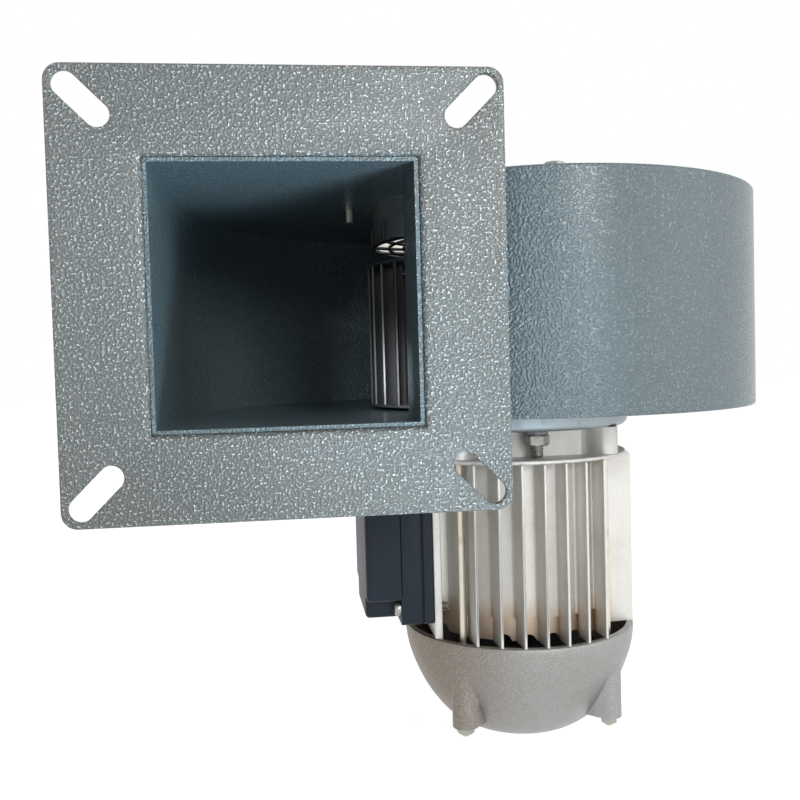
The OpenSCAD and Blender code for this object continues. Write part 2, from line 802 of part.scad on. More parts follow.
module terminal_screws() {
    from_shaft() color([0.8, 0.8, 0.8]) {
        box_screw_bores(screw_seat_x, screw_seat_x - box_head_h, box_head_r);
        box_screw_bores(seat_t - seat_x + box_screw_tip, screw_seat_x - box_head_h / 2, box_screw_r);
    }
}

module terminal_block() {
    from_shaft() color([0.85, 0.83, 0.75])
        translate([base_x - box_t - block_d, -block_w / 2, box_mid_z + block_h])
            cube([block_d, block_w, block_h]);
}

module capacitor() {
    from_shaft() color([0.75, 0.75, 0.76])
        translate([base_x - box_t - capacitor_r - 1, -capacitor_r, box_mid_z - capacitor_h * 0.75])
            cylinder(r = capacitor_r, h = capacitor_h);
}

// Bore for the gland in the cover's far wall
module gland_bore(r) {
    translate([gland_x, box_w / 2 - 2 * box_t, gland_z]) rotate([-90, 0, 0]) cylinder(r = r, h = 4 * box_t);
}

module cable_gland() {
    thread_h = box_t + gland_inside;
    length = gland_flange_t + gland_cap_h;
    from_shaft() color([0.1, 0.1, 0.1])
        translate([gland_x, box_w / 2, gland_z]) rotate([-90, 0, 0]) difference() {
            union() {
                hexagon(gland_across, gland_flange_t);
                translate([0, 0, -thread_h]) cylinder(r = gland_thread_r, h = thread_h + 1);
                translate([0, 0, gland_flange_t - 1]) cylinder(r = gland_cap_r, h = gland_cap_h + 1);
            }
            translate([0, 0, -thread_h - 1]) cylinder(r = cable_r, h = thread_h + length + 2, $fn = round_fn);
        }
}

module gland_nut() {
    from_shaft() color([0.1, 0.1, 0.1])
        translate([gland_x, box_w / 2 - box_t - gland_flange_t, gland_z]) rotate([-90, 0, 0])
            nut(gland_across, gland_flange_t, gland_thread_r);
}

// ---- Rotor ----

module shaft() {
    from_shaft() color([0.75, 0.76, 0.78])
        translate([0, 0, shaft_low]) cylinder(r = shaft_r, h = shaft_top - shaft_low);
}

module rotor_core() {
    from_shaft() color([0.5, 0.5, 0.52]) translate([0, 0, core_z]) tube(rotor_r, shaft_r, stator_h);
}

module rotor_end_rings() {
    from_shaft() color([0.7, 0.71, 0.72]) for (z = [core_z + stator_h, core_z - end_ring_h])
        translate([0, 0, z]) tube(rotor_r - 1.5, rotor_r - 7, end_ring_h);
}

module impeller_hub() {
    from_shaft() color([0.62, 0.63, 0.64]) difference() {
        union() {
            translate([0, 0, blade_z]) cylinder(r = hub_r, h = hub_h);
            translate([0, 0, blade_z]) cylinder(r = hub_r + hub_flange_w, h = hub_flange_t);
        }
        translate([0, 0, blade_z - 1]) cylinder(r = shaft_r, h = hub_h + 2);
        translate([0, 0, grub_z]) rotate([0, 90, 0]) cylinder(r = grub_r, h = hub_r + 1, $fn = small_fn);
        at_rivets()
            translate([0, 0, blade_z - 1]) cylinder(r = rivet_r, h = hub_flange_t + 2, $fn = small_fn);
    }
}

// Children at the rivets that hold the back plate to the hub
module at_rivets() {
    for (k = [0 : hub_rivet_count - 1]) rotate([0, 0, 30 + k * 360 / hub_rivet_count])
        translate([hub_r + hub_flange_w / 2, 0, 0]) children();
}

module hub_rivets() {
    from_shaft() color([0.75, 0.75, 0.76]) at_rivets() {
        translate([0, 0, back_z]) cylinder(r = rivet_r, h = rim_t + hub_flange_t + 0.5, $fn = small_fn);
        translate([0, 0, blade_z + hub_flange_t])
            cylinder(r = rivet_head_r, h = rivet_head_h, $fn = small_fn);
    }
}

module hub_grub_screw() {
    from_shaft() color([0.3, 0.3, 0.32]) translate([shaft_r, 0, grub_z]) rotate([0, 90, 0])
        cylinder(r = grub_r, h = hub_r - shaft_r, $fn = small_fn);
}

module impeller_back_plate() {
    from_shaft() color([0.2, 0.22, 0.24]) difference() {
        translate([0, 0, back_z]) cylinder(r = impeller_r, h = rim_t, $fn = 180);
        translate([0, 0, back_z - 1]) cylinder(r = shaft_r + 2, h = rim_t + 2);
        at_rivets() translate([0, 0, back_z - 1]) cylinder(r = rivet_r, h = rim_t + 2, $fn = small_fn);
    }
}

// Middle line of a blade: radial at its inner edge and turned forward at its outer edge
function blade_at(t) = let(
    r = blade_in_r + 1 + (blade_depth - 2) * t,
    a = blade_sweep * t * t
) [r * cos(a), r * sin(a)];

// Unit normal of the middle line
function blade_normal(t) = let(
    p = blade_at(t - 0.01),
    q = blade_at(t + 0.01),
    d = (q - p) / norm(q - p)
) [-d[1], d[0]];

module impeller_blades() {
    steps = 8;
    from_shaft() color([0.2, 0.22, 0.24]) translate([0, 0, blade_z]) linear_extrude(blade_h)
        for (k = [0 : blade_count - 1]) rotate(k * 360 / blade_count) polygon([
            for (i = [0 : steps]) blade_at(i / steps) - blade_t / 2 * blade_normal(i / steps),
            for (i = [steps : -1 : 0]) blade_at(i / steps) + blade_t / 2 * blade_normal(i / steps),
        ]);
}

module impeller_front_ring() {
    from_shaft() color([0.2, 0.22, 0.24])
        translate([0, 0, ring_z]) tube(impeller_r, blade_in_r, rim_t, $fn = 180);
}

module cooling_fan() {
    hub = shaft_r + fan_hub_wall;
    depth = fan_top - shaft_low - clip_room;
    blade_low = -depth * 0.6;
    from_shaft() color([0.12, 0.12, 0.12]) difference() {
        union() {
            translate([0, 0, fan_top - depth]) cylinder(r = hub, h = depth);
            translate([0, 0, fan_top - fan_plate_t]) cylinder(r = cooling_fan_r, h = fan_plate_t);
            for (k = [0 : cooling_blades - 1]) rotate([0, 0, k * 360 / cooling_blades])
                translate([0, fan_plate_t / 2, fan_top - fan_plate_t]) rotate([90, 0, 0])
                    linear_extrude(fan_plate_t) polygon([
                        [hub - 1, 0], [cooling_fan_r, 0], [cooling_fan_r * 0.74, blade_low], [hub - 1, blade_low],
                    ]);
        }
        translate([0, 0, fan_top - depth - 1]) cylinder(r = shaft_r, h = depth + 2);
    }
}

module fan_clip() {
    from_shaft() color([0.3, 0.3, 0.3])
        translate([0, 0, shaft_low + clip_room - clip_t]) tube(shaft_r + clip_w, shaft_r, clip_t);
}

outlet_flange();
scroll_wrap();
inlet_side_plate();
motor_side_plate();
inlet_ring();
inlet_guard();
inlet_ring_screws();
mounting_disc();
mount_studs();
mount_lock_washers();
mount_nuts();
front_end_shield();
finned_housing();
stator_core();
stator_windings();
rear_end_shield();
fan_cowl();
through_rods();
rod_nuts();
front_bearing();
rear_bearing();
preload_washer();
terminal_base();
terminal_gasket();
terminal_cover();
terminal_screws();
terminal_block();
capacitor();
cable_gland();
gland_nut();
shaft();
rotor_core();
rotor_end_rings();
impeller_hub();
impeller_back_plate();
impeller_blades();
impeller_front_ring();
hub_grub_screw();
hub_rivets();
cooling_fan();
fan_clip();
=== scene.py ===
"""Looks of a centrifugal blower: painted scroll casing, impeller and finned motor.

Every sub-assembly is a class that holds its sizes in millimetres, measured from
the shaft axis and the inlet plane, and builds its meshes in the row's frame.
"""

import json
import logging
import math
from dataclasses import dataclass, field
from enum import Enum
from typing import Any, Callable, Iterable, Optional, Sequence

import bmesh
import bpy
from mathutils import Matrix, Vector


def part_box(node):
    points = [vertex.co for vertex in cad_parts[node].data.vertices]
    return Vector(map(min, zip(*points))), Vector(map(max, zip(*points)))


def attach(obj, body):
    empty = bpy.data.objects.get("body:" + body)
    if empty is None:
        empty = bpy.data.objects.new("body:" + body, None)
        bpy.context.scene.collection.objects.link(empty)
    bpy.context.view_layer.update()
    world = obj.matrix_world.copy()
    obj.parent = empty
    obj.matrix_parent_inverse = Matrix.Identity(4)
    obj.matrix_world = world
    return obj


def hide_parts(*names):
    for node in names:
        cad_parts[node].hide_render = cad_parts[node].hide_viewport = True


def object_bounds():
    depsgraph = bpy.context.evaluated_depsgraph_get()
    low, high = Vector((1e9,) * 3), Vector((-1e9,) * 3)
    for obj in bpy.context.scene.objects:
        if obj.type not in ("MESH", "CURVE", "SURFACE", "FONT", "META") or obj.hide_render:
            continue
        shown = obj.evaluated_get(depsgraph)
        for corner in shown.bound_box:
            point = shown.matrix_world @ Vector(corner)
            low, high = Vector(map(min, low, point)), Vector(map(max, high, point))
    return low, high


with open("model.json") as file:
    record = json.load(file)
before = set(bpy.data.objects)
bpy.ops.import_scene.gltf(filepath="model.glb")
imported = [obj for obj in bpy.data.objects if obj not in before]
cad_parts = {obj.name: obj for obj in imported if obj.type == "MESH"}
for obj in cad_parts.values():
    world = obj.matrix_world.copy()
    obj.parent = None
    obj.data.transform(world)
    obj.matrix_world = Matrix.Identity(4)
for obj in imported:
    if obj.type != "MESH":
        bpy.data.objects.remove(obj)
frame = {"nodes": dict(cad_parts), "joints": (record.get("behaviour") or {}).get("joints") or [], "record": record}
CAD_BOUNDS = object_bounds()

MM = 0.001
HOUSING = "housing"
ROTOR = "rotor"
log = logging.getLogger("blower")

Point = tuple[float, float]
Colour = tuple[float, float, float]


class Slot(Enum):
    """Material slots of the record."""

    FLANGE_PAINT = "flange_paint"
    CASING_PAINT = "casing_paint"
    BRIGHT_STEEL = "bright_steel"
    BLACK_STEEL = "black_steel"
    ZINC = "zinc"
    YELLOW_ZINC = "yellow_zinc"
    DARK_STEEL = "dark_steel"
    MACHINED_ALUMINIUM = "machined_aluminium"
    CAST_ALUMINIUM = "cast_aluminium"
    BLASTED_ALUMINIUM = "blasted_aluminium"
    LAMINATION_STEEL = "lamination_steel"
    COPPER = "copper"
    BEARING_STEEL = "bearing_steel"
    BOX_PLASTIC = "box_plastic"
    GASKET_RUBBER = "gasket_rubber"
    PALE_PLASTIC = "pale_plastic"
    BLACK_PLASTIC = "black_plastic"
    IMPELLER_PAINT = "impeller_paint"


# ---------------------------------------------------------------- shader maths


class Value:
    """A number socket that takes part in Python expressions."""

    def __init__(self, graph: "Graph", socket: bpy.types.NodeSocket) -> None:
        """Wraps a socket of the graph."""
        self.graph = graph
        self.socket = socket

    def _math(self, operation: str, *operands: Any) -> "Value":
        """Adds one Math node and returns its result."""
        node = self.graph.node("ShaderNodeMath", {"operation": operation}, dict(enumerate(operands)))
        return Value(self.graph, node.outputs[0])

    def __add__(self, other: Any) -> "Value":
        """Sum of two values."""
        return self._math("ADD", self, other)

    def __radd__(self, other: Any) -> "Value":
        """Sum with a number on the left."""
        return self._math("ADD", other, self)

    def __sub__(self, other: Any) -> "Value":
        """Difference of two values."""
        return self._math("SUBTRACT", self, other)

    def __rsub__(self, other: Any) -> "Value":
        """Difference from a number on the left."""
        return self._math("SUBTRACT", other, self)

    def __mul__(self, other: Any) -> "Value":
        """Product of two values."""
        return self._math("MULTIPLY", self, other)

    def __rmul__(self, other: Any) -> "Value":
        """Product with a number on the left."""
        return self._math("MULTIPLY", other, self)

    def __truediv__(self, other: Any) -> "Value":
        """Quotient of two values."""
        return self._math("DIVIDE", self, other)

    def __pow__(self, other: Any) -> "Value":
        """Power of a value."""
        return self._math("POWER", self, other)

    def smooth(self, low: float, high: float) -> "Value":
        """Maps low..high to 0..1 with a smooth ramp.

        Args:
            low: value that becomes 0.
            high: value that becomes 1; it may be below low.

        Returns:
            The mapped value.
        """
        settings = {"interpolation_type": "SMOOTHSTEP"}
        inputs = {"Value": self, "From Min": low, "From Max": high}
        if low > high:
            inputs = {"Value": self, "From Min": high, "From Max": low, "To Min": 1.0, "To Max": 0.0}
        node = self.graph.node("ShaderNodeMapRange", settings, inputs)
        return Value(self.graph, node.outputs["Result"])


class Graph:
    """Node tree of one material, with short calls for the nodes that are used."""

    def __init__(self, name: str) -> None:
        """Makes an empty material of this name."""
        self.material = bpy.data.materials.new(name)
        self.material.use_nodes = True
        self.tree = self.material.node_tree
        self.tree.nodes.clear()
        self.place = self.node("ShaderNodeTexCoord").outputs["Object"]
        self.axes = self.node("ShaderNodeSeparateXYZ", {}, {"Vector": self.place}).outputs

    def node(self, kind: str, settings: Optional[dict] = None, inputs: Optional[dict] = None) -> bpy.types.Node:
        """Adds a node.

        Args:
            kind: the node's type.
            settings: attributes, set first; "stops" gives a ramp's stops.
            inputs: socket names or numbers, with a value or a link for each.

        Returns:
            The new node.
        """
        node = self.tree.nodes.new(kind)
        for key, value in (settings or {}).items():
            if key == "stops":
                self._stops(node.color_ramp, value)
            else:
                setattr(node, key, value)
        for key, value in (inputs or {}).items():
            self.join(value, node.inputs[key])
        return node

    def join(self, value: Any, socket: bpy.types.NodeSocket) -> None:
        """Links a socket or a wrapped value, or sets a constant."""
        if isinstance(value, Value):
            value = value.socket
        if isinstance(value, bpy.types.NodeSocket):
            self.tree.links.new(value, socket)
        elif isinstance(value, tuple) and len(value) == 3 and socket.type == "RGBA":
            socket.default_value = (*value, 1.0)
        else:
            socket.default_value = value

    @staticmethod
    def _stops(ramp: bpy.types.ColorRamp, stops: Sequence[tuple[float, Colour]]) -> None:
        """Sets a colour ramp's stops."""
        while len(ramp.elements) < len(stops):
            ramp.elements.new(1.0)
        for element, (position, colour) in zip(ramp.elements, stops):
            element.position = position
            element.color = (*colour, 1.0)

    def stretch(self, x: float, y: float, z: float) -> bpy.types.NodeSocket:
        """Object coordinates scaled along each axis."""
        node = self.node("ShaderNodeMapping", {}, {"Vector": self.place, "Scale": (x, y, z)})
        return node.outputs["Vector"]

    def noise(self, scale: float, detail: float = 2.0, roughness: float = 0.5,
              vector: Optional[bpy.types.NodeSocket] = None) -> Value:
        """Noise of this many features per metre."""
        inputs = {"Vector": vector or self.place, "Scale": scale, "Detail": detail, "Roughness": roughness}
        return Value(self, self.node("ShaderNodeTexNoise", {}, inputs).outputs[0])

    def cells(self, scale: float, smoothness: float = 0.6) -> Value:
        """Distance to the middle of soft cells."""
        settings = {"feature": "SMOOTH_F1"}
        inputs = {"Vector": self.place, "Scale": scale, "Smoothness": smoothness}
        return Value(self, self.node("ShaderNodeTexVoronoi", settings, inputs).outputs["Distance"])

    def mix(self, factor: Any, low: Any, high: Any) -> bpy.types.NodeSocket:
        """Mix of two colours."""
        node = self.node("ShaderNodeMix", {"data_type": "RGBA"}, {0: factor, 6: low, 7: high})
        return node.outputs[2]

    def bump(self, height: Value, distance: float, strength: float = 1.0) -> bpy.types.NodeSocket:
        """Normal from a height.

        Args:
            height: value between about 0 and 1.
            distance: depth in metres of one unit of height.
            strength: share of the effect.

        Returns:
            The normal socket.
        """
        inputs = {"Height": height, "Distance": distance, "Strength": strength}
        return self.node("ShaderNodeBump", {}, inputs).outputs["Normal"]

    def surface(self, **inputs: Any) -> bpy.types.Material:
        """Ends the material in a Principled BSDF with these inputs."""
        named = {key.replace("_", " "): value for key, value in inputs.items()}
        shader = self.node("ShaderNodeBsdfPrincipled", {}, named)
        output = self.node("ShaderNodeOutputMaterial")
        self.tree.links.new(shader.outputs["BSDF"], output.inputs["Surface"])
        return self.material


# ---------------------------------------------------------------- finishes


@dataclass(frozen=True)
class HammerPaint:
    """Hammer-texture powder coat: soft dimples, pale specks on their ridges painted as highlights, and painted shade
    in their hollows.
    """

    base: Colour
    pale: Colour
    dark: Colour
    dimple: float = 1000.0
    depth: float = 0.00034
    roughness: float = 0.2
    painted_glint_share: float = 0.6

    def build(self, name: str) -> bpy.types.Material:
        """Makes the material."""
        g = Graph(name)
        dimples = g.noise(self.dimple, 0.0)
        wrinkle = g.noise(self.dimple * 1.9, 0.0)
        drift = g.noise(9.0, 2.0)
        height = dimples.smooth(0.3, 0.7) + wrinkle * 0.35
        # Pale specks on the dimples' ridges: painted highlights of the coat's sparkle.
        painted_glint_mask = dimples.smooth(0.59, 0.67) * wrinkle.smooth(0.5, 0.58)
        tone = g.mix(drift.smooth(0.3, 0.7) * 0.3, self.base, self.dark)
        # Hollows of the dimples are darkened: painted shade.
        tone = g.mix(dimples.smooth(0.46, 0.34) * 0.25, tone, self.dark)
        tone = g.mix(painted_glint_mask * self.painted_glint_share, tone, self.pale)
        return g.surface(
            Base_Color=tone, Metallic=0.1, Roughness=self.roughness + drift * 0.06, Specular_IOR_Level=0.6,
            Coat_Weight=0.12, Coat_Roughness=0.2, Normal=g.bump(height, self.depth, 1.0),
        )


@dataclass(frozen=True)
class CastMetal:
    """Die-cast metal with a fine grain and painted glints on it, brown painted shade towards a low edge, and a
    painted warm reflection on one side.
    """

    base: Colour
    worn: Colour
    low_shade_colour: Colour = (0.56, 0.43, 0.31)
    grain: float = 900.0
    depth: float = 0.00008
    roughness: float = 0.42
    metallic: float = 0.75
    glint: float = 0.12
    low_shade_band: Optional[tuple[float, float, float]] = None
    axis: Point = (0.0, 0.0)
    reflection_side: Optional[tuple[float, float]] = None
    reflection_colour: Colour = (0.2, 0.15, 0.1)

    def build(self, name: str) -> bpy.types.Material:
        """Makes the material.

        A band of brown painted shade low on the housing is given by its low height, its high height and its greatest
        radius.
        A painted warm reflection makes one side brown from its first x and fades out by its second.
        """
        g = Graph(name)
        cloud = g.noise(38.0, 3.0)
        grain = g.noise(self.grain, 2.0, 0.6)
        spots = g.noise(170.0, 3.0, 0.6)
        streaks = g.noise(1.0, 3.0, 0.6, g.stretch(260.0, 260.0, 22.0))
        stain = cloud.smooth(0.42, 0.75) * 0.25 + spots.smooth(0.6, 0.75) * 0.2 + streaks.smooth(0.55, 0.8) * 0.2
        tone = g.mix(stain, self.base, self.worn)
        # Painted shade: brown darkening low on the barrel between the fins, just above the cowl.
        if self.low_shade_band:
            low, high, radius = self.low_shade_band
            x, y = Value(g, g.axes["X"]) - self.axis[0], Value(g, g.axes["Y"]) - self.axis[1]
            reach = (x * x + y * y) ** 0.5
            height = Value(g, g.axes["Z"]) + (cloud - 0.5) * 0.01 + (spots - 0.5) * 0.006
            tone = g.mix(
                height.smooth(high, low) * reach.smooth(radius + 0.0015, radius) * 0.85, tone, self.low_shade_colour)
        # Painted reflection: one side of the cowl darkens to a warm brown.
        if self.reflection_side:
            reflection_full_x, reflection_gone_x = self.reflection_side
            side = Value(g, g.axes["X"]) + (cloud - 0.5) * 0.03
            tone = g.mix(side.smooth(reflection_gone_x, reflection_full_x) * 0.85, tone, self.reflection_colour)
        # Bright specks on the grain: painted glints.
        tone = g.mix(grain.smooth(0.46, 0.68) * self.glint, tone, tuple(min(1.0, c * 1.8) for c in self.base))
        return g.surface(
            Base_Color=tone, Metallic=self.metallic, Roughness=self.roughness + cloud * 0.14 + spots * 0.06,
            Normal=g.bump(grain + spots * 0.5, self.depth, 0.8),
        )


@dataclass(frozen=True)
class PlatedMetal:
    """Plated or ground metal with faint brushing and handling marks."""

    base: Colour
    worn: Colour
    roughness: float = 0.25
    metallic: float = 1.0
    brush: tuple[float, float, float] = (200.0, 200.0, 2600.0)

    def build(self, name: str) -> bpy.types.Material:
        """Makes the material."""
        g = Graph(name)
        lines = g.noise(1.0, 2.0, 0.6, g.stretch(*self.brush))
        marks = g.noise(140.0, 3.0, 0.6)
        tone = g.mix(marks.smooth(0.5, 0.75) * 0.6, self.base, self.worn)
        return g.surface(
            Base_Color=tone, Metallic=self.metallic, Roughness=self.roughness + marks * 0.14 + lines * 0.06,
            Normal=g.bump(lines, 0.00002, 0.5),
        )


@dataclass(frozen=True)
class MouldedPlastic:
    """Moulded plastic or rubber with a fine spark-eroded grain and dust."""

    base: Colour
    dust: Colour
    roughness: float = 0.5
    grain: float = 1500.0
    depth: float = 0.00004
    dusting: float = 0.25

    def build(self, name: str) -> bpy.types.Material:
        """Makes the material."""
        g = Graph(name)
        grain = g.noise(self.grain, 2.0, 0.6)
        smear = g.noise(26.0, 4.0, 0.6)
        tone = g.mix(smear.smooth(0.45, 0.8) * self.dusting, self.base, self.dust)
        return g.surface(
            Base_Color=tone, Roughness=self.roughness + smear * 0.15, Specular_IOR_Level=0.3,
            Normal=g.bump(grain, self.depth, 0.7),
        )


@dataclass(frozen=True)
class CoatedSteel:
    """Thin dark coat on sheet or wire, with bright rubs and dust."""

    base: Colour
    rub: Colour
    roughness: float = 0.38

    def build(self, name: str) -> bpy.types.Material:
        """Makes the material."""
        g = Graph(name)
        peel = g.noise(700.0, 2.0)
        smear = g.noise(45.0, 4.0, 0.6)
        tone = g.mix(smear.smooth(0.5, 0.78) * 0.5, self.base, self.rub)
        return g.surface(
            Base_Color=tone, Metallic=0.35, Roughness=self.roughness + smear * 0.2,
            Coat_Weight=0.15, Coat_Roughness=0.3, Normal=g.bump(peel, 0.00006, 0.7),
        )


@dataclass(frozen=True)
class Laminated:
    """Stacked sheets or wound wire: fine lines across the shaft."""

    base: Colour
    line: Colour
    pitch: float = 0.0005
    roughness: float = 0.4

    def build(self, name: str) -> bpy.types.Material:
        """Makes the material."""
        g = Graph(name)
        wave = Value(g, g.axes["Z"]) * (2 * math.pi / self.pitch)
        lines = wave._math("SINE", wave) * 0.5 + 0.5
        smear = g.noise(60.0, 3.0)
        tone = g.mix(lines * 0.6 + smear * 0.3, self.base, self.line)
        return g.surface(
            Base_Color=tone, Metallic=0.8, Roughness=self.roughness + smear * 0.15,
            Normal=g.bump(lines, self.pitch * 0.2, 0.6),
        )


def finishes() -> dict[Slot, bpy.types.Material]:
    """Makes one material for each slot of the record."""
    housing_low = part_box("finned_housing")[0].z
    axis = tuple(frame["joints"][0]["pos_m"][:2])
    kinds = {
        # The pale colours of both paints go into painted highlights on the dimples.
        Slot.FLANGE_PAINT: HammerPaint((0.166, 0.182, 0.174), (0.8, 0.83, 0.81), (0.112, 0.128, 0.124), painted_glint_share=0.8),
        Slot.CASING_PAINT: HammerPaint((0.142, 0.194, 0.21), (0.4, 0.46, 0.48), (0.105, 0.15, 0.166), painted_glint_share=0.4),
        Slot.BRIGHT_STEEL: PlatedMetal((0.78, 0.77, 0.74), (0.6, 0.59, 0.56), 0.3),
        Slot.BLACK_STEEL: CoatedSteel((0.02, 0.021, 0.023), (0.1, 0.1, 0.1)),
        Slot.ZINC: PlatedMetal((0.37, 0.37, 0.345), (0.25, 0.22, 0.17), 0.27),
        Slot.YELLOW_ZINC: PlatedMetal((0.64, 0.6, 0.5), (0.42, 0.35, 0.24), 0.3),
        Slot.DARK_STEEL: PlatedMetal((0.2, 0.2, 0.2), (0.12, 0.11, 0.1), 0.4),
        Slot.MACHINED_ALUMINIUM: PlatedMetal((0.33, 0.38, 0.4), (0.24, 0.275, 0.29), 0.38),
        # Cast aluminium gets brown painted shade low between the fins.
        Slot.CAST_ALUMINIUM: CastMetal(
            (0.68, 0.668, 0.638), (0.42, 0.39, 0.34),
            low_shade_band=(housing_low + 0.009, housing_low + 0.02, 0.0455), axis=axis,
        ),
        # The cowl's left side gets a painted warm reflection.
        Slot.BLASTED_ALUMINIUM: CastMetal(
            (0.33, 0.33, 0.322), (0.25, 0.225, 0.19), grain=1700.0, depth=0.00022, roughness=0.33, glint=0.36,
            reflection_side=(axis[0] - 0.05, axis[0] - 0.002),
        ),
        Slot.LAMINATION_STEEL: Laminated((0.32, 0.32, 0.33), (0.18, 0.18, 0.18)),
        Slot.COPPER: Laminated((0.5, 0.22, 0.08), (0.28, 0.1, 0.03), 0.0009),
        Slot.BEARING_STEEL: PlatedMetal((0.68, 0.69, 0.71), (0.5, 0.5, 0.5), 0.18),
        Slot.BOX_PLASTIC: MouldedPlastic((0.01, 0.018, 0.031), (0.026, 0.038, 0.052), 0.4),
        Slot.GASKET_RUBBER: MouldedPlastic((0.012, 0.012, 0.012), (0.04, 0.04, 0.04), 0.7),
        Slot.PALE_PLASTIC: MouldedPlastic((0.62, 0.6, 0.55), (0.5, 0.47, 0.4), 0.4),
        Slot.BLACK_PLASTIC: MouldedPlastic((0.015, 0.015, 0.016), (0.06, 0.06, 0.06), 0.45),
        Slot.IMPELLER_PAINT: CoatedSteel((0.085, 0.09, 0.095), (0.17, 0.18, 0.19)),
    }
    return {slot: kind.build(slot.value) for slot, kind in kinds.items()}


# ---------------------------------------------------------------- mesh helpers


def arc(cx: float, cy: float, r: float, start: float, end: float, step: float = 3.0) -> list[Point]:
    """Points of an arc, both ends included, with angles in degrees."""
    count = max(2, math.ceil(abs(end - start) / step))
    angles = (math.radians(start + (end - start) * i / count) for i in range(count + 1))
    return [(cx + r * math.cos(a), cy + r * math.sin(a)) for a in angles]


def circle(r: float, count: int = 180, cx: float = 0.0, cy: float = 0.0) -> list[Point]:
    """Points of a full circle."""
    turns = (2 * math.pi * i / count for i in range(count))
    return [(cx + r * math.cos(a), cy + r * math.sin(a)) for a in turns]


def rounded_rect(w: float, h: float, r: float, cx: float = 0.0, cy: float = 0.0, step: float = 9.0) -> list[Point]:
    """Points of a rectangle with round corners."""
    r = max(r, 0.01)
    corners = ((1, 1, 0), (-1, 1, 90), (-1, -1, 180), (1, -1, 270))
    points: list[Point] = []
    for sx, sy, start in corners:
        points += arc(cx + sx * (w / 2 - r), cy + sy * (h / 2 - r), r, start, start + 90, step)
    return points


def round_corners(corners: Sequence[tuple[float, float, float]], step: float = 20.0) -> list[Point]:
    """Replaces each corner of a closed path by an arc.

    Args:
        corners: x, y and radius of each corner; a radius of 0 keeps the point.
        step: most degrees between points of an arc.

    Returns:
        The points of the rounded path.
    """
    points: list[Point] = []
    count = len(corners)
    for i, (x, y, radius) in enumerate(corners):
        here = Vector((x, y))
        to_last = Vector(corners[i - 1][:2]) - here
        to_next = Vector(corners[(i + 1) % count][:2]) - here
        if radius <= 0 or to_last.length < 1e-6 or to_next.length < 1e-6:
            points.append((x, y))
            continue
        a, b = to_last.normalized(), to_next.normalized()
        half = a.angle(b) / 2
        reach = min(radius / math.tan(half), 0.49 * to_last.length, 0.49 * to_next.length)
        radius = reach * math.tan(half)
        centre = here + (a + b).normalized() * (radius / math.sin(half))
        start, end = here + a * reach - centre, here + b * reach - centre
        turn = -start.angle_signed(end)
        pieces = max(1, math.ceil(abs(math.degrees(turn)) / step))
        base = math.atan2(start.y, start.x)
        for k in range(pieces + 1):
            angle = base + turn * k / pieces
            points.append((centre.x + radius * math.cos(angle), centre.y + radius * math.sin(angle)))
    return points


def edge_rows(z0: float, z1: float, low: float = 0.0, high: float = 0.0, steps: int = 4) -> list[Point]:
    """Rows of a plate's edge from its low face to its high face.

    Args:
        z0: height of the low face.
        z1: height of the high face.
        low: radius of the low edge, 0 for a sharp one.
        high: radius of the high edge, 0 for a sharp one.
        steps: segments of each rounding.

    Returns:
        Inset and height of each row.
    """
    quarter = [math.pi / 2 * i / steps for i in range(steps + 1)]
    rows = [(low * (1 - math.sin(a)), z0 + low * (1 - math.cos(a))) for a in quarter] if low else [(0.0, z0)]
    rows += [(high * (1 - math.cos(a)), z1 - high * (1 - math.sin(a))) for a in quarter] if high else [(0.0, z1)]
    return rows


Loop = Callable[[float], list[Point]]


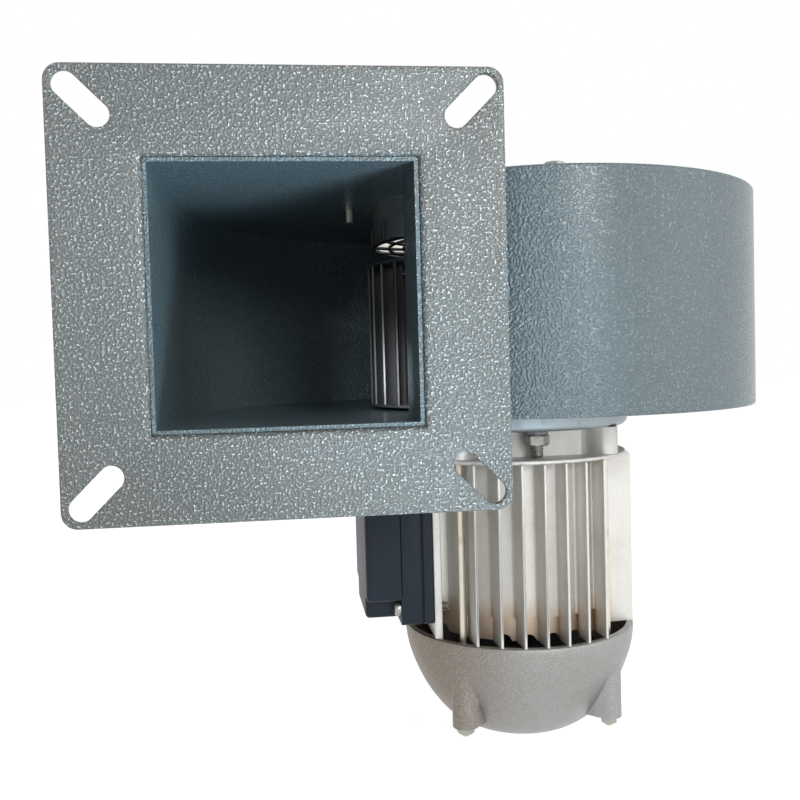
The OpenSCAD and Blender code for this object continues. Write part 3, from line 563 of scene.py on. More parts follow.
class Solid:
    """A mesh under construction, in millimetres from the shaft axis."""

    def __init__(self) -> None:
        """Starts empty."""
        self.bm = bmesh.new()

    def ring(self, points: Iterable[Sequence[float]]) -> list[bmesh.types.BMVert]:
        """Adds vertices."""
        return [self.bm.verts.new(p) for p in points]

    def bridge(self, low: list, high: list, closed: bool = True) -> None:
        """Joins two rows of vertices with faces."""
        count = len(low)
        for i in range(count if closed else count - 1):
            j = (i + 1) % count
            self.bm.faces.new((low[i], low[j], high[j], high[i]))

    def fill(self, loops: Sequence[list]) -> None:
        """Fills the flat area between closed loops of vertices."""
        edges = []
        for loop in loops:
            for i, vert in enumerate(loop):
                after = loop[(i + 1) % len(loop)]
                edges.append(self.bm.edges.get((vert, after)) or self.bm.edges.new((vert, after)))
        bmesh.ops.triangle_fill(self.bm, use_beauty=True, use_dissolve=False, edges=edges)

    def plate(self, loops: Sequence[tuple[Loop, Sequence[Point]]]) -> "Solid":
        """Adds a plate bounded by outlines whose edges have rows.

        Args:
            loops: for each outline, its points at an inset, and its edge's rows.

        Returns:
            The solid.
        """
        ends: list[list] = [[], []]
        for outline, rows in loops:
            rings = [self.ring((x, y, z) for x, y in outline(inset)) for inset, z in rows]
            for low, high in zip(rings, rings[1:]):
                self.bridge(low, high)
            ends[0].append(rings[0])
            ends[1].append(rings[-1])
        for loops_at_end in ends:
            self.fill(loops_at_end)
        return self

    def prism(self, outline: Sequence[Point], z0: float, z1: float, *holes: Sequence[Point]) -> "Solid":
        """Adds a straight prism with holes."""
        rows = [(0.0, z0), (0.0, z1)]
        return self.plate([(lambda _, points=points: list(points), rows) for points in (outline, *holes)])

    def spin(self, profile: Sequence[Point], around: int = 180,
             warp: Optional[Callable[[float, float, float], float]] = None,
             centre: Point = (0.0, 0.0)) -> "Solid":
        """Turns a profile round an axis along Z.

        Args:
            profile: radius and height of each point; it is closed, unless both ends lie on the axis.
            around: number of steps in a turn.
            warp: gives the radius from the angle, radius and height.
            centre: place of the axis.

        Returns:
            The solid.
        """
        on_axis = profile[0][0] == 0 and profile[-1][0] == 0
        turns = [2 * math.pi * i / around for i in range(around)]
        rings = []
        for r, z in profile:
            if r == 0:
                rings.append([self.bm.verts.new((*centre, z))] * around)
                continue
            radii = (warp(a, r, z) if warp else r for a in turns)
            rings.append(self.ring(
                (centre[0] + q * math.cos(a), centre[1] + q * math.sin(a), z) for q, a in zip(radii, turns)))
        pairs = list(zip(rings, rings[1:])) + ([] if on_axis else [(rings[-1], rings[0])])
        for low, high in pairs:
            for i in range(around):
                j = (i + 1) % around
                corners = list(dict.fromkeys((low[i], low[j], high[j], high[i])))
                if len(corners) > 2:
                    self.bm.faces.new(corners)
        return self

    def turned(self, matrix: Matrix) -> "Solid":
        """Moves all that has been built so far."""
        bmesh.ops.transform(self.bm, matrix=matrix, verts=self.bm.verts)
        return self

    def mesh(self, name: str, sharp: float = 35.0) -> bpy.types.Mesh:
        """Ends as a mesh in the same units.

        Args:
            name: the mesh's name.
            sharp: edges that turn by more degrees than this stay sharp.

        Returns:
            The mesh, smooth between its sharp edges.
        """
        bmesh.ops.remove_doubles(self.bm, verts=self.bm.verts, dist=1e-5)
        bmesh.ops.recalc_face_normals(self.bm, faces=self.bm.faces)
        mesh = bpy.data.meshes.new(name)
        self.bm.to_mesh(mesh)
        self.bm.free()
        mesh.polygons.foreach_set("use_smooth", [True] * len(mesh.polygons))
        mesh.set_sharp_from_angle(angle=math.radians(sharp))
        return mesh


def smooth_max(a: float, b: float, blend: float) -> float:
    """Larger of two numbers, rounded where they are close."""
    h = max(blend - abs(a - b), 0.0) / blend
    return max(a, b) + h * h * blend / 4


def boss_reach(angle: float, spread: float, radius: float, quarter: float = 45.0) -> float:
    """Distance from the axis to the far side of the nearest of four bosses.

    Args:
        angle: direction in radians.
        spread: distance from the axis to a boss's middle.
        radius: radius of a boss.
        quarter: direction of the first boss, in degrees.

    Returns:
        The distance, or 0 where the direction misses every boss.
    """
    off = (angle - math.radians(quarter) + math.pi / 4) % (math.pi / 2) - math.pi / 4
    miss = spread * math.sin(off)
    return spread * math.cos(off) + math.sqrt(radius**2 - miss**2) if abs(miss) < radius else 0.0


# ---------------------------------------------------------------- geometry nodes


class NodeShop:
    """Builds Geometry Nodes trees and turns their results into plain meshes."""

    def __init__(self, name: str, **inputs: tuple[str, Any]) -> None:
        """Starts a tree whose inputs have a socket type and a value each."""
        self.tree = bpy.data.node_groups.new(name, "GeometryNodeTree")
        self.tree.interface.new_socket("Geometry", in_out="INPUT", socket_type="NodeSocketGeometry")
        self.tree.interface.new_socket("Geometry", in_out="OUTPUT", socket_type="NodeSocketGeometry")
        self.values = {}
        for key, (kind, value) in inputs.items():
            socket = self.tree.interface.new_socket(key, in_out="INPUT", socket_type=f"NodeSocket{kind}")
            self.values[socket.identifier] = value
        self.given = self.tree.nodes.new("NodeGroupInput").outputs

    def node(self, kind: str, settings: Optional[dict] = None, inputs: Optional[dict] = None) -> bpy.types.Node:
        """Adds a node, as Graph.node does."""
        node = self.tree.nodes.new(kind)
        for key, value in (settings or {}).items():
            setattr(node, key, value)
        for key, value in (inputs or {}).items():
            if isinstance(value, bpy.types.NodeSocket):
                self.tree.links.new(value, node.inputs[key])
            else:
                node.inputs[key].default_value = value
        return node

    def math(self, operation: str, a: Any, b: Any = 0.0) -> bpy.types.NodeSocket:
        """Adds one Math node."""
        return self.node("ShaderNodeMath", {"operation": operation}, {0: a, 1: b}).outputs[0]

    def bake(self, name: str, geometry: bpy.types.NodeSocket, material: bpy.types.Material) -> bpy.types.Mesh:
        """Ends the tree, runs it and keeps the result.

        Args:
            name: the mesh's name.
            geometry: the tree's result.
            material: finish of every face.

        Returns:
            A plain mesh.
        """
        real = self.node("GeometryNodeRealizeInstances", {}, {0: geometry}).outputs[0]
        dressed = self.node("GeometryNodeSetMaterial", {}, {0: real, "Material": material}).outputs[0]
        output = self.tree.nodes.new("NodeGroupOutput")
        self.tree.links.new(dressed, output.inputs[0])
        host = bpy.data.objects.new(name + "_host", bpy.data.meshes.new(name + "_host"))
        bpy.context.collection.objects.link(host)
        modifier = host.modifiers.new("shop", "NODES")
        modifier.node_group = self.tree
        for identifier, value in self.values.items():
            modifier[identifier] = value
        host.update_tag()
        seen = host.evaluated_get(bpy.context.evaluated_depsgraph_get())
        mesh = bpy.data.meshes.new_from_object(seen)
        mesh.name = name
        bpy.data.objects.remove(host)
        return mesh


def copies_round_axis(name: str, template: bpy.types.Mesh, count: int, first: float,
                      material: bpy.types.Material) -> bpy.types.Mesh:
    """Copies a mesh round the Z axis with Geometry Nodes.

    Args:
        name: name of the result.
        template: one copy, in its place at angle 0.
        count: number of copies.
        first: angle of the first copy, in degrees.
        material: finish of the copies.

    Returns:
        A plain mesh of all the copies.
    """
    holder = bpy.data.objects.new(name + "_one", template)
    bpy.context.collection.objects.link(holder)
    shop = NodeShop(
        name + "_copies",
        Template=("Object", holder), Count=("Int", count), First=("Float", math.radians(first)),
        Step=("Float", 2 * math.pi / count),
    )
    index = shop.node("GeometryNodeInputIndex").outputs[0]
    angle = shop.math("ADD", shop.given["First"], shop.math("MULTIPLY", index, shop.given["Step"]))
    turn = shop.node("ShaderNodeCombineXYZ", {}, {"Z": angle}).outputs[0]
    points = shop.node("GeometryNodePoints", {}, {"Count": shop.given["Count"]}).outputs[0]
    one = shop.node("GeometryNodeObjectInfo", {}, {"Object": shop.given["Template"]}).outputs["Geometry"]
    copies = shop.node(
        "GeometryNodeInstanceOnPoints", {}, {"Points": points, "Instance": one, "Rotation": turn}).outputs[0]
    mesh = shop.bake(name, copies, material)
    bpy.data.objects.remove(holder)
    return mesh


# ---------------------------------------------------------------- the workshop


class Workshop:
    """Turns meshes into dressed pieces in the row's frame."""

    def __init__(self) -> None:
        """Reads the shaft's place and makes the finishes."""
        shaft = frame["joints"][0]["pos_m"]
        inlet_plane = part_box("inlet_side_plate")[1].z
        self.to_row = Matrix.Translation((shaft[0], shaft[1], inlet_plane)) @ Matrix.Scale(MM, 4)
        self.finish = finishes()

    def piece(self, name: str, mesh: bpy.types.Mesh, slot: Slot, body: str, *nodes: str,
              bevel: float = 0.0) -> bpy.types.Object:
        """Places a mesh as a finished piece.

        Args:
            name: the piece's name.
            mesh: its mesh, in millimetres from the shaft axis.
            slot: the record's slot that its finish comes from.
            body: the CAD body it moves with.
            nodes: the CAD nodes it stands for.
            bevel: width of a bevel on its sharp edges, in millimetres.

        Returns:
            The piece's object.
        """
        mesh.name = name
        mesh.transform(self.to_row)
        mesh.materials.clear()
        mesh.materials.append(self.finish[slot])
        piece = bpy.data.objects.new(name, mesh)
        bpy.context.collection.objects.link(piece)
        if bevel:
            modifier = piece.modifiers.new("edges", "BEVEL")
            modifier.width = bevel * MM
            modifier.segments = 3
            modifier.limit_method = "ANGLE"
            modifier.angle_limit = math.radians(38)
            modifier.harden_normals = False
        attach(piece, body)
        if nodes:
            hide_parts(*nodes)
        log.info("%s: %d faces, rides on %s", name, len(mesh.polygons), body)
        return piece

    def dress_nodes(self) -> None:
        """Gives every CAD node the finish of its slot."""
        for part in frame["record"]["subparts"]:
            node = frame["nodes"].get(part["node"])
            if node is None:
                continue
            node.data.materials.clear()
            node.data.materials.append(self.finish[Slot(part["material_slot"])])


# ---------------------------------------------------------------- casing


@dataclass
class ScrollCasing:
    """The welded casing: a rolled wrap between two side plates."""

    shop: Workshop
    width: float = 99.6
    sheet: float = 1.5
    first_r: float = 88.25
    step: float = 20.5
    tongue_r: float = 4.0
    front: float = -108.0
    eye_r: float = 69.5
    bearing_hole_r: float = 20.0
    edge: float = 1.1

    @property
    def left(self) -> float:
        """The duct's left side."""
        return -(self.step / 2 + self.first_r + 3 * self.step)

    @property
    def right(self) -> float:
        """The duct's right side."""
        return self.left + self.width

    def path(self, inset: float) -> list[Point]:
        """Outline of the casing, from the duct's right front corner to its left one."""
        h, r, t = self.step / 2, self.first_r, self.tongue_r
        cx = self.right + t
        cy = -h - math.sqrt((r + t) ** 2 - (cx - h) ** 2)
        lean = math.degrees(math.atan2(cy + h, cx - h)) % 360
        points = [(self.right - inset, self.front), (self.right - inset, (self.front + cy) / 2)]
        points += arc(cx, cy, t + inset, 180, lean - 180, 10)
        points += arc(h, -h, r - inset, lean, 270)
        points += arc(h, h, r + self.step - inset, 270, 360)
        points += arc(-h, h, r + 2 * self.step - inset, 0, 90)
        points += arc(-h, -h, r + 3 * self.step - inset, 90, 180)
        points += [(self.left + inset, (self.front - h) / 2), (self.left + inset, self.front)]
        return [q for k, q in enumerate(points) if k == 0 or math.dist(q, points[k - 1]) > 1e-4]

    def build(self) -> None:
        """Builds the wrap and the two side plates."""
        low, high = -self.width + self.sheet, -self.sheet
        outer, inner = self.path(0.0), self.path(self.sheet)
        wrap = Solid()
        rows = [wrap.ring((x, y, z) for x, y in side) for side, z in
                ((outer, low), (outer, high), (inner, high), (inner, low))]
        for i, row in enumerate(rows):
            wrap.bridge(row, rows[(i + 1) % 4], closed=False)
        for end in (0, -1):
            wrap.bm.faces.new([row[end] for row in rows])
        self.shop.piece("casing_wrap", wrap.mesh("casing_wrap", 30), Slot.CASING_PAINT, HOUSING, "scroll_wrap")
        for name, node, low, high, hole in (
            ("casing_inlet_plate", "inlet_side_plate", -self.sheet, 0.0, self.eye_r),
            ("casing_motor_plate", "motor_side_plate", -self.width, -self.width + self.sheet, self.bearing_hole_r),
        ):
            top = low == -self.sheet
            rows = edge_rows(low, high, 0.0 if top else self.edge, self.edge if top else 0.0)
            eye = (lambda _, r=hole: circle(r, 144), [(0.0, low), (0.0, high)])
            plate = Solid().plate([(self.path, rows), eye])
            self.shop.piece(name, plate.mesh(name, 30), Slot.CASING_PAINT, HOUSING, node)


@dataclass
class OutletFlange:
    """The square flange with its corner slots, rolled lip and collar."""

    shop: Workshop
    casing: ScrollCasing
    face: float = -110.0
    window: float = 100.0
    size: float = 165.0
    thick: float = 3.0
    corner: float = 6.0
    pitch: float = 140.0
    slot_w: float = 9.0
    slot_run: float = 15.5
    lip: float = 2.2
    edge: float = 0.7
    collar: float = 2.0
    collar_depth: float = 8.0

    def slot(self, quarter: int) -> Loop:
        """Outline of one corner slot; an inset makes it wider."""
        middle = Vector((self.pitch / 2, self.pitch / 2))
        turn = Matrix.Rotation(math.radians(90 * quarter), 2)

        def points(inset: float) -> list[Point]:
            r, run = self.slot_w / 2 + inset, self.slot_run / 2
            ends = arc(run, 0, r, -90, 90, 9) + arc(-run, 0, r, 90, 270, 9)
            diagonal = Matrix.Rotation(math.radians(45), 2)
            placed = (turn @ (diagonal @ Vector(p) + middle) for p in ends)
            return [(p.x, p.y) for p in placed]

        return points

    def build(self) -> None:
        """Builds the flange and its collar as one piece."""
        centre = self.casing.left + self.casing.width / 2
        rim = edge_rows(0, self.thick, self.edge, self.edge)
        mouth = edge_rows(0, self.thick, self.edge, self.lip, 6)
        solid = Solid().plate([
            (lambda i: rounded_rect(self.size - 2 * i, self.size - 2 * i, self.corner - i), rim),
            (lambda i: rounded_rect(self.window + 2 * i, self.window + 2 * i, 0.6 + i), mouth),
            *((self.slot(k), rim) for k in range(4)),
        ])
        out, hole = self.casing.width + 2 * self.collar, self.casing.width + 0.1
        solid.prism(rounded_rect(out, out, 1.0), -self.collar_depth, 0.2, rounded_rect(hole, hole, 0.2))
        stand = Matrix.Translation((centre, self.face + self.thick, -self.casing.width / 2))
        solid.turned(stand @ Matrix.Rotation(math.radians(90), 4, "X"))
        self.shop.piece("flange_plate", solid.mesh("flange_plate", 40), Slot.FLANGE_PAINT, HOUSING, "outlet_flange")


# ---------------------------------------------------------------- inlet


@dataclass
class Inlet:
    """The pressed inlet ring, its screws and the guard under its collar."""

    shop: Workshop
    collar_r: float = 67.0
    sheet: float = 1.2
    flange_r: float = 86.0
    depth: float = 18.5
    bend: float = 2.0
    screw_circle: float = 79.0
    wire: float = 0.8
    guard_z: float = -19.5
    pitch: float = 7.2
    spokes: int = 18
    sweep: float = 38.0
    hook: float = 9.0

    def build(self) -> None:
        """Builds every piece of the inlet."""
        self.ring()
        self.guard()
        self.screws()

    def ring(self) -> None:
        """The ring: a flat flange that rolls into a straight collar."""
        c, t, b = self.collar_r, self.sheet, self.bend
        outside = arc(c + b, t - b - t, b + t, 90, 180, 15)
        inside = arc(c + b, -b, b, 180, 90, 15)
        profile = [
            (self.flange_r, t), *outside, (c - t, -self.depth), (c, -self.depth), *inside, (self.flange_r, 0.0),
        ]
        self.shop.piece(
            "inlet_mouth_ring", Solid().spin(profile).mesh("inlet_mouth_ring", 40),
            Slot.BRIGHT_STEEL, HOUSING, "inlet_ring")

    def guard(self) -> None:
        """The guard: round wire rings, curved spokes and hooks, made by Geometry Nodes."""
        shop = NodeShop(
            "guard_wires",
            Rings=("Int", 9), Inner=("Float", 9.0), Pitch=("Float", self.pitch), Spokes=("Int", self.spokes),
            Sweep=("Float", math.radians(self.sweep)), Outer=("Float", self.collar_r + self.wire + 0.1),
            Wire=("Float", self.wire), Hook=("Float", self.hook),
        )
        given = shop.given
        index = shop.node("GeometryNodeInputIndex").outputs[0]
        radius = shop.math("ADD", given["Inner"], shop.math("MULTIPLY", index, given["Pitch"]))
        ring = shop.node("GeometryNodeCurvePrimitiveCircle", {}, {"Resolution": 96, "Radius": 1.0}).outputs[0]
        points = shop.node("GeometryNodePoints", {}, {"Count": given["Rings"]}).outputs[0]
        scale = shop.node("ShaderNodeCombineXYZ", {}, {"X": radius, "Y": radius, "Z": 1.0}).outputs[0]
        rings = shop.node(
            "GeometryNodeInstanceOnPoints", {}, {"Points": points, "Instance": ring, "Scale": scale}).outputs[0]
        steps = 20
        line = shop.node("GeometryNodeCurvePrimitiveLine", {}, {"Start": (0, 0, 0), "End": (1, 0, 0)}).outputs[0]
        line = shop.node("GeometryNodeResampleCurve", {}, {"Curve": line, "Count": steps}).outputs[0]
        along = shop.math("DIVIDE", index, steps - 1.0)
        flat = shop.math("MINIMUM", shop.math("DIVIDE", along, 0.85), 1.0)
        rise = shop.math("MAXIMUM", shop.math("DIVIDE", shop.math("SUBTRACT", along, 0.85), 0.15), 0.0)
        reach = shop.math("ADD", given["Inner"], shop.math(
            "MULTIPLY", flat, shop.math("SUBTRACT", given["Outer"], given["Inner"])))
        angle = shop.math("MULTIPLY", flat, given["Sweep"])
        spot = shop.node("ShaderNodeCombineXYZ", {}, {
            "X": shop.math("MULTIPLY", reach, shop.math("COSINE", angle)),
            "Y": shop.math("MULTIPLY", reach, shop.math("SINE", angle)),
            "Z": shop.math("MULTIPLY", rise, given["Hook"]),
        }).outputs[0]
        spoke = shop.node("GeometryNodeSetPosition", {}, {"Geometry": line, "Position": spot}).outputs[0]
        turn = shop.math("DIVIDE", shop.math("MULTIPLY", index, 2 * math.pi), given["Spokes"])
        turn = shop.node("ShaderNodeCombineXYZ", {}, {"Z": turn}).outputs[0]
        points = shop.node("GeometryNodePoints", {}, {"Count": given["Spokes"]}).outputs[0]
        spokes = shop.node(
            "GeometryNodeInstanceOnPoints", {}, {"Points": points, "Instance": spoke, "Rotation": turn}).outputs[0]
        both = shop.node("GeometryNodeJoinGeometry")
        shop.tree.links.new(rings, both.inputs[0])
        shop.tree.links.new(spokes, both.inputs[0])
        curves = shop.node("GeometryNodeRealizeInstances", {}, {0: both.outputs[0]}).outputs[0]
        section = shop.node(
            "GeometryNodeCurvePrimitiveCircle", {}, {"Resolution": 8, "Radius": given["Wire"]}).outputs[0]
        wires = shop.node(
            "GeometryNodeCurveToMesh", {}, {"Curve": curves, "Profile Curve": section, "Fill Caps": True}).outputs[0]
        placed = shop.node(
            "GeometryNodeTransform", {}, {"Geometry": wires, "Translation": (0, 0, self.guard_z)}).outputs[0]
        mesh = shop.bake("guard", placed, self.shop.finish[Slot.BLACK_STEEL])
        mesh.polygons.foreach_set("use_smooth", [True] * len(mesh.polygons))
        self.shop.piece("guard", mesh, Slot.BLACK_STEEL, HOUSING, "inlet_guard")

    def screws(self) -> None:
        """Four hexagon screws with a washer face and a chamfered head."""
        screw = hex_head(8.0, 2.8, self.sheet, (self.screw_circle, 0.0))
        tip, under = self.sheet - 9.0, self.sheet + 0.3
        screw.spin(
            [(0, tip), (2.1, tip), (2.45, self.sheet - 8.4), (2.45, under), (0, under)], 24,
            centre=(self.screw_circle, 0.0))
        mesh = copies_round_axis("ring_screws", screw.mesh("screw", 30), 4, 0.0, self.shop.finish[Slot.ZINC])
        self.shop.piece("ring_screws", mesh, Slot.ZINC, HOUSING, "inlet_ring_screws")


def hexagon_reach(angle: float, across: float) -> float:
    """Distance from the middle of a hexagon to its side."""
    off = angle % (math.pi / 3) - math.pi / 6
    return across / 2 / math.cos(off)


def hex_head(across: float, height: float, z: float, centre: Point, bore: float = 0.0) -> Solid:
    """A hexagon head or nut with a chamfer at its ends.

    Args:
        across: width across flats.
        height: its height.
        z: height of its low face.
        centre: place of its axis.
        bore: radius of a nut's bore, 0 for a head.

    Returns:
        The solid.
    """
    corner = across / 2 / math.cos(math.pi / 6)
    rim, drop = across / 2 * 0.96, (corner - across / 2 * 0.96) * 0.55
    outer = [(rim, z), (corner, z + drop)]
    outer += [(corner, z + drop + (height - 2 * drop) * i / 3) for i in (1, 2)]
    outer += [(corner, z + height - drop), (rim, z + height)]
    if bore:
        lead = bore * 0.14
        profile = [(bore + lead, z), *outer, (bore + lead, z + height), (bore, z + height - lead), (bore, z + lead)]
    else:
        profile = [(0, z), *outer, (0, z + height)]
    return Solid().spin(profile, 72, lambda a, r, _: min(r, hexagon_reach(a, across)), centre)


def threaded_rod(r: float, z0: float, z1: float, centre: Point, pitch: float = 1.0, depth: float = 0.32) -> Solid:
    """A rod whose whole length carries thread ridges.

    Args:
        r: outer radius.
        z0: low end.
        z1: high end.
        centre: place of the axis.
        pitch: distance between ridges.
        depth: depth of the thread.

    Returns:
        The solid.
    """
    turns = int((z1 - z0 - 1.0) / pitch)
    profile: list[Point] = [(0, z0), (r - depth - 0.2, z0)]
    for i in range(turns):
        base = z0 + 0.4 + i * pitch
        profile += [
            (r - depth, base), (r, base + pitch * 0.35), (r, base + pitch * 0.5), (r - depth, base + pitch * 0.85),
        ]
    profile += [(r, z0 + 0.4 + turns * pitch), (r, z1), (0, z1)]
    return Solid().spin(profile, 24, None, centre)


# ---------------------------------------------------------------- motor


@dataclass
class MotorMount:
    """The turned disc under the casing, and the studs, lock washers and nuts."""

    shop: Workshop
    top: float = -99.6
    radius: float = 55.0
    thick: float = 8.5
    bore: float = 18.0
    circle_r: float = 43.0
    stud_r: float = 3.0
    washer: float = 1.9
    nut: float = 5.0

    def build(self) -> None:
        """Builds the disc and the fasteners."""
        low = self.top - self.thick
        r = self.radius
        profile = [(self.bore, low), (r - 2.2, low), (r - 1.6, low + 0.25), (r - 0.25, low + 1.6), (r, low + 2.2),
                   (r, self.top - 0.6), (r - 0.6, self.top), (self.bore, self.top)]
        self.shop.piece(
            "motor_disc", Solid().spin(profile).mesh("motor_disc", 25), Slot.MACHINED_ALUMINIUM, HOUSING,
            "mounting_disc")
        spot = (self.circle_r, 0.0)
        stud = threaded_rod(self.stud_r, low - self.washer - self.nut - 5.2, self.top + 1.4, spot)
        self._copies("disc_studs", stud, Slot.ZINC, "mount_studs", 0.0)
        z = low - self.washer
        washer = Solid().spin(
            [(3.1, z + 0.1), (3.3, z), (5.0, z), (5.2, z + 0.2),
             (5.2, low - 0.2), (5.0, low), (3.3, low), (3.1, low - 0.1)], 48, None, spot)
        self._copies("disc_lock_washers", washer, Slot.DARK_STEEL, "mount_lock_washers", 0.0)
        nut = hex_head(10.0, self.nut, z - self.nut, (0.0, 0.0), self.stud_r)
        nut.turned(Matrix.Translation((*spot, 0)) @ Matrix.Rotation(math.radians(18), 4, "Z"))
        self._copies("disc_nuts", nut, Slot.ZINC, "mount_nuts", 0.0)

    def _copies(self, name: str, one: Solid, slot: Slot, node: str, first: float) -> None:
        """Copies a fastener to the four quarter points."""
        mesh = copies_round_axis(name, one.mesh(name + "_one", 30), 4, first, self.shop.finish[slot])
        self.shop.piece(name, mesh, slot, HOUSING, node)


@dataclass
class Motor:
    """The finned motor: shields, housing, cowl and through rods."""

    shop: Workshop
    neck_top: float = -108.1
    neck_h: float = 12.5
    neck_r: float = 43.0
    neck_flat: float = 36.5
    boss_r: float = 6.5
    rod_circle: float = 48.5
    rod_r: float = 2.0
    rim: float = 2.0
    tip_r: float = 56.0
    barrel_r: float = 44.0
    bore_r: float = 39.0
    housing_h: float = 81.5
    overhang: float = 10.5
    fin_pitch: float = 10.0
    fin_t: float = 1.2
    fin_root: float = 3.0
    seat_x: float = 46.7
    seat_t: float = 3.6
    bearing_r: float = 16.0
    arch_drop: float = 2.2
    cowl_h: float = 53.5
    cowl_t: float = 3.0
    cowl_boss_h: float = 40.5
    slots: int = 12
    slot_r: float = 17.0
    slot_run: float = 10.0
    slot_w: float = 3.4
    arches: int = 24
    arch_w: float = 7.0

    @property
    def neck_low(self) -> float:
        """Low face of the neck."""
        return self.neck_top - self.neck_h

    @property
    def housing_top(self) -> float:
        """High end of the finned housing."""
        return self.neck_low - self.rim

    @property
    def housing_low(self) -> float:
        """Low end of the fins."""
        return self.housing_top - self.housing_h

    @property
    def barrel_low(self) -> float:
        """Low end of the barrel."""
        return self.housing_low + self.overhang

    @property
    def cowl_rim(self) -> float:
        """Height of the cowl's rim."""
        return self.housing_low

    def chord(self, r: float, offset: float) -> float:
        """Half the chord of a circle at an offset."""
        return math.sqrt(r * r - offset * offset)

    def build(self) -> None:
        """Builds every piece of the motor."""
        self.front_shield()
        self.housing()
        self.rear_shield()
        self.cowl()
        self.rods()

    def neck_reach(self, angle: float, r: float, z: float) -> float:
        """Plan of the neck: a round core with flats, and a boss at each rod."""
        c, s = abs(math.cos(angle)), abs(math.sin(angle))
        core = min(self.neck_r, self.neck_flat / max(c, s))
        return r * max(core, boss_reach(angle, self.rod_circle, self.boss_r)) if r == 1.0 else r

    def front_shield(self) -> None:
        """The front end shield: neck, rim, spigot and bearing seat."""
        seat = self.neck_low - 1 - 10
        low, top, rim_r = self.housing_top, self.neck_top, self.tip_r - 2
        profile = [
            (self.bearing_r, seat), (self.bearing_r + 3.5, seat), (self.bearing_r + 3.5, low), (self.bore_r - 3, low),
            (self.bore_r - 3, low - 4), (self.bore_r, low - 4), (self.bore_r, low), (rim_r - 0.4, low),
            (rim_r, low + 0.4), (rim_r, low + self.rim - 0.5), (rim_r - 0.5, low + self.rim),
            (1.0, low + self.rim), (1.0, low + self.rim + 0.8), (1.0, top - 0.8), (1.0, top), (self.bearing_r, top),
        ]
        solid = Solid().spin(profile, 360, self.neck_reach)
        self.shop.piece(
            "front_shield", solid.mesh("front_shield", 28), Slot.CAST_ALUMINIUM, HOUSING, "front_end_shield")

    def fin_corners(self, ahead: Vector, side: Vector, offset: float, tip: float) -> list[tuple[float, float, float]]:
        """Corners of one fin, from root to root, with their radii."""
        corners = []
        for across, reach, radius in (
            (offset - self.fin_root / 2, None, 2.2), (offset - self.fin_t / 2, tip, 0.45),
            (offset + self.fin_t / 2, tip, 0.45), (offset + self.fin_root / 2, None, 2.2),
        ):
            spot = side * across + ahead * (self.chord(self.barrel_r, across) if reach is None else reach)
            corners.append((spot.x, spot.y, radius))
        return corners

    def housing_outline(self) -> list[Point]:
        """Plan of the barrel with its front, back and right-hand fins."""
        x, y = Vector((1, 0)), Vector((0, 1))
        corners: list[tuple[float, float, float]] = []
        groups = ((x, y, 2), (y, -x, 3), (-x, -y, None), (-y, x, 3))
        fins = []
        for ahead, side, most in groups:
            if most is None:
                continue
            for i in range(-most, most + 1):
                offset = i * self.fin_pitch
                fins.append(self.fin_corners(ahead, side, offset, self.chord(self.tip_r, offset)))
        for i, fin in enumerate(fins):
            corners += fin
            after = fins[(i + 1) % len(fins)][0]
            start = math.degrees(math.atan2(fin[-1][1], fin[-1][0]))
            end = math.degrees(math.atan2(after[1], after[0]))
            end += 360 if end < start else 0
            floor = arc(0, 0, self.barrel_r, start, end, 5)
            corners += [(px, py, 0.0) for px, py in floor[1:-1]]
        return round_corners(corners, 25)

    def housing(self) -> None:
        """The housing: barrel, fins, the fins' free ends and the box's seat."""
        top, low = self.housing_top, self.barrel_low
        solid = Solid().prism(self.housing_outline(), low, top, circle(self.bore_r, 120))
        x, y = Vector((1, 0)), Vector((0, 1))
        for ahead, side, most in ((x, y, 2), (y, -x, 3), (-y, x, 3)):
            for i in range(-most, most + 1):
                offset = i * self.fin_pitch
                corners = self.fin_corners(ahead, side, offset, self.chord(self.tip_r, offset))
                solid.prism(round_corners([(a, b, min(r, 0.5)) for a, b, r in corners], 30), self.housing_low, low)
        half = self.chord(self.tip_r, self.seat_x)
        seat = rounded_rect(self.seat_t, 2 * half, 0.5, -self.seat_x + self.seat_t / 2, 0.0, 30)
        solid.prism(seat, self.housing_low, top)
        for i in range(-2, 3):
            offset = i * self.fin_pitch
            inner = self.chord(self.barrel_r, abs(offset)) - 0.6
            outer = self.seat_x - self.seat_t + 0.4
            if outer > inner:
                rib = rounded_rect(outer - inner, 2.4, 0.1, -(outer + inner) / 2, offset, 45)
                solid.prism(rib, low, top)
        self.shop.piece(
            "finned_barrel", solid.mesh("finned_barrel", 32), Slot.CAST_ALUMINIUM, HOUSING, "finned_housing")

    def rear_shield(self) -> None:
        """The rear end shield: plate, arched skirt, spigot and bearing seat."""
        top, r = self.barrel_low, self.barrel_r - 0.5
        plate_low, steps = top - 5.3, 720
        rise = plate_low - self.cowl_rim - self.arch_drop
        half = math.degrees(self.arch_w / 2 / r)

        def edge(k: int) -> float:
            place = (k * 360 / steps - 7.5) / (360 / self.arches)
            off = abs(place - round(place)) * 360 / self.arches / half
            open_here = off < 1 and round(place) % 6 not in (2, 3)
            return self.cowl_rim + (rise * math.sqrt(1 - off**2) if open_here else 0.0)

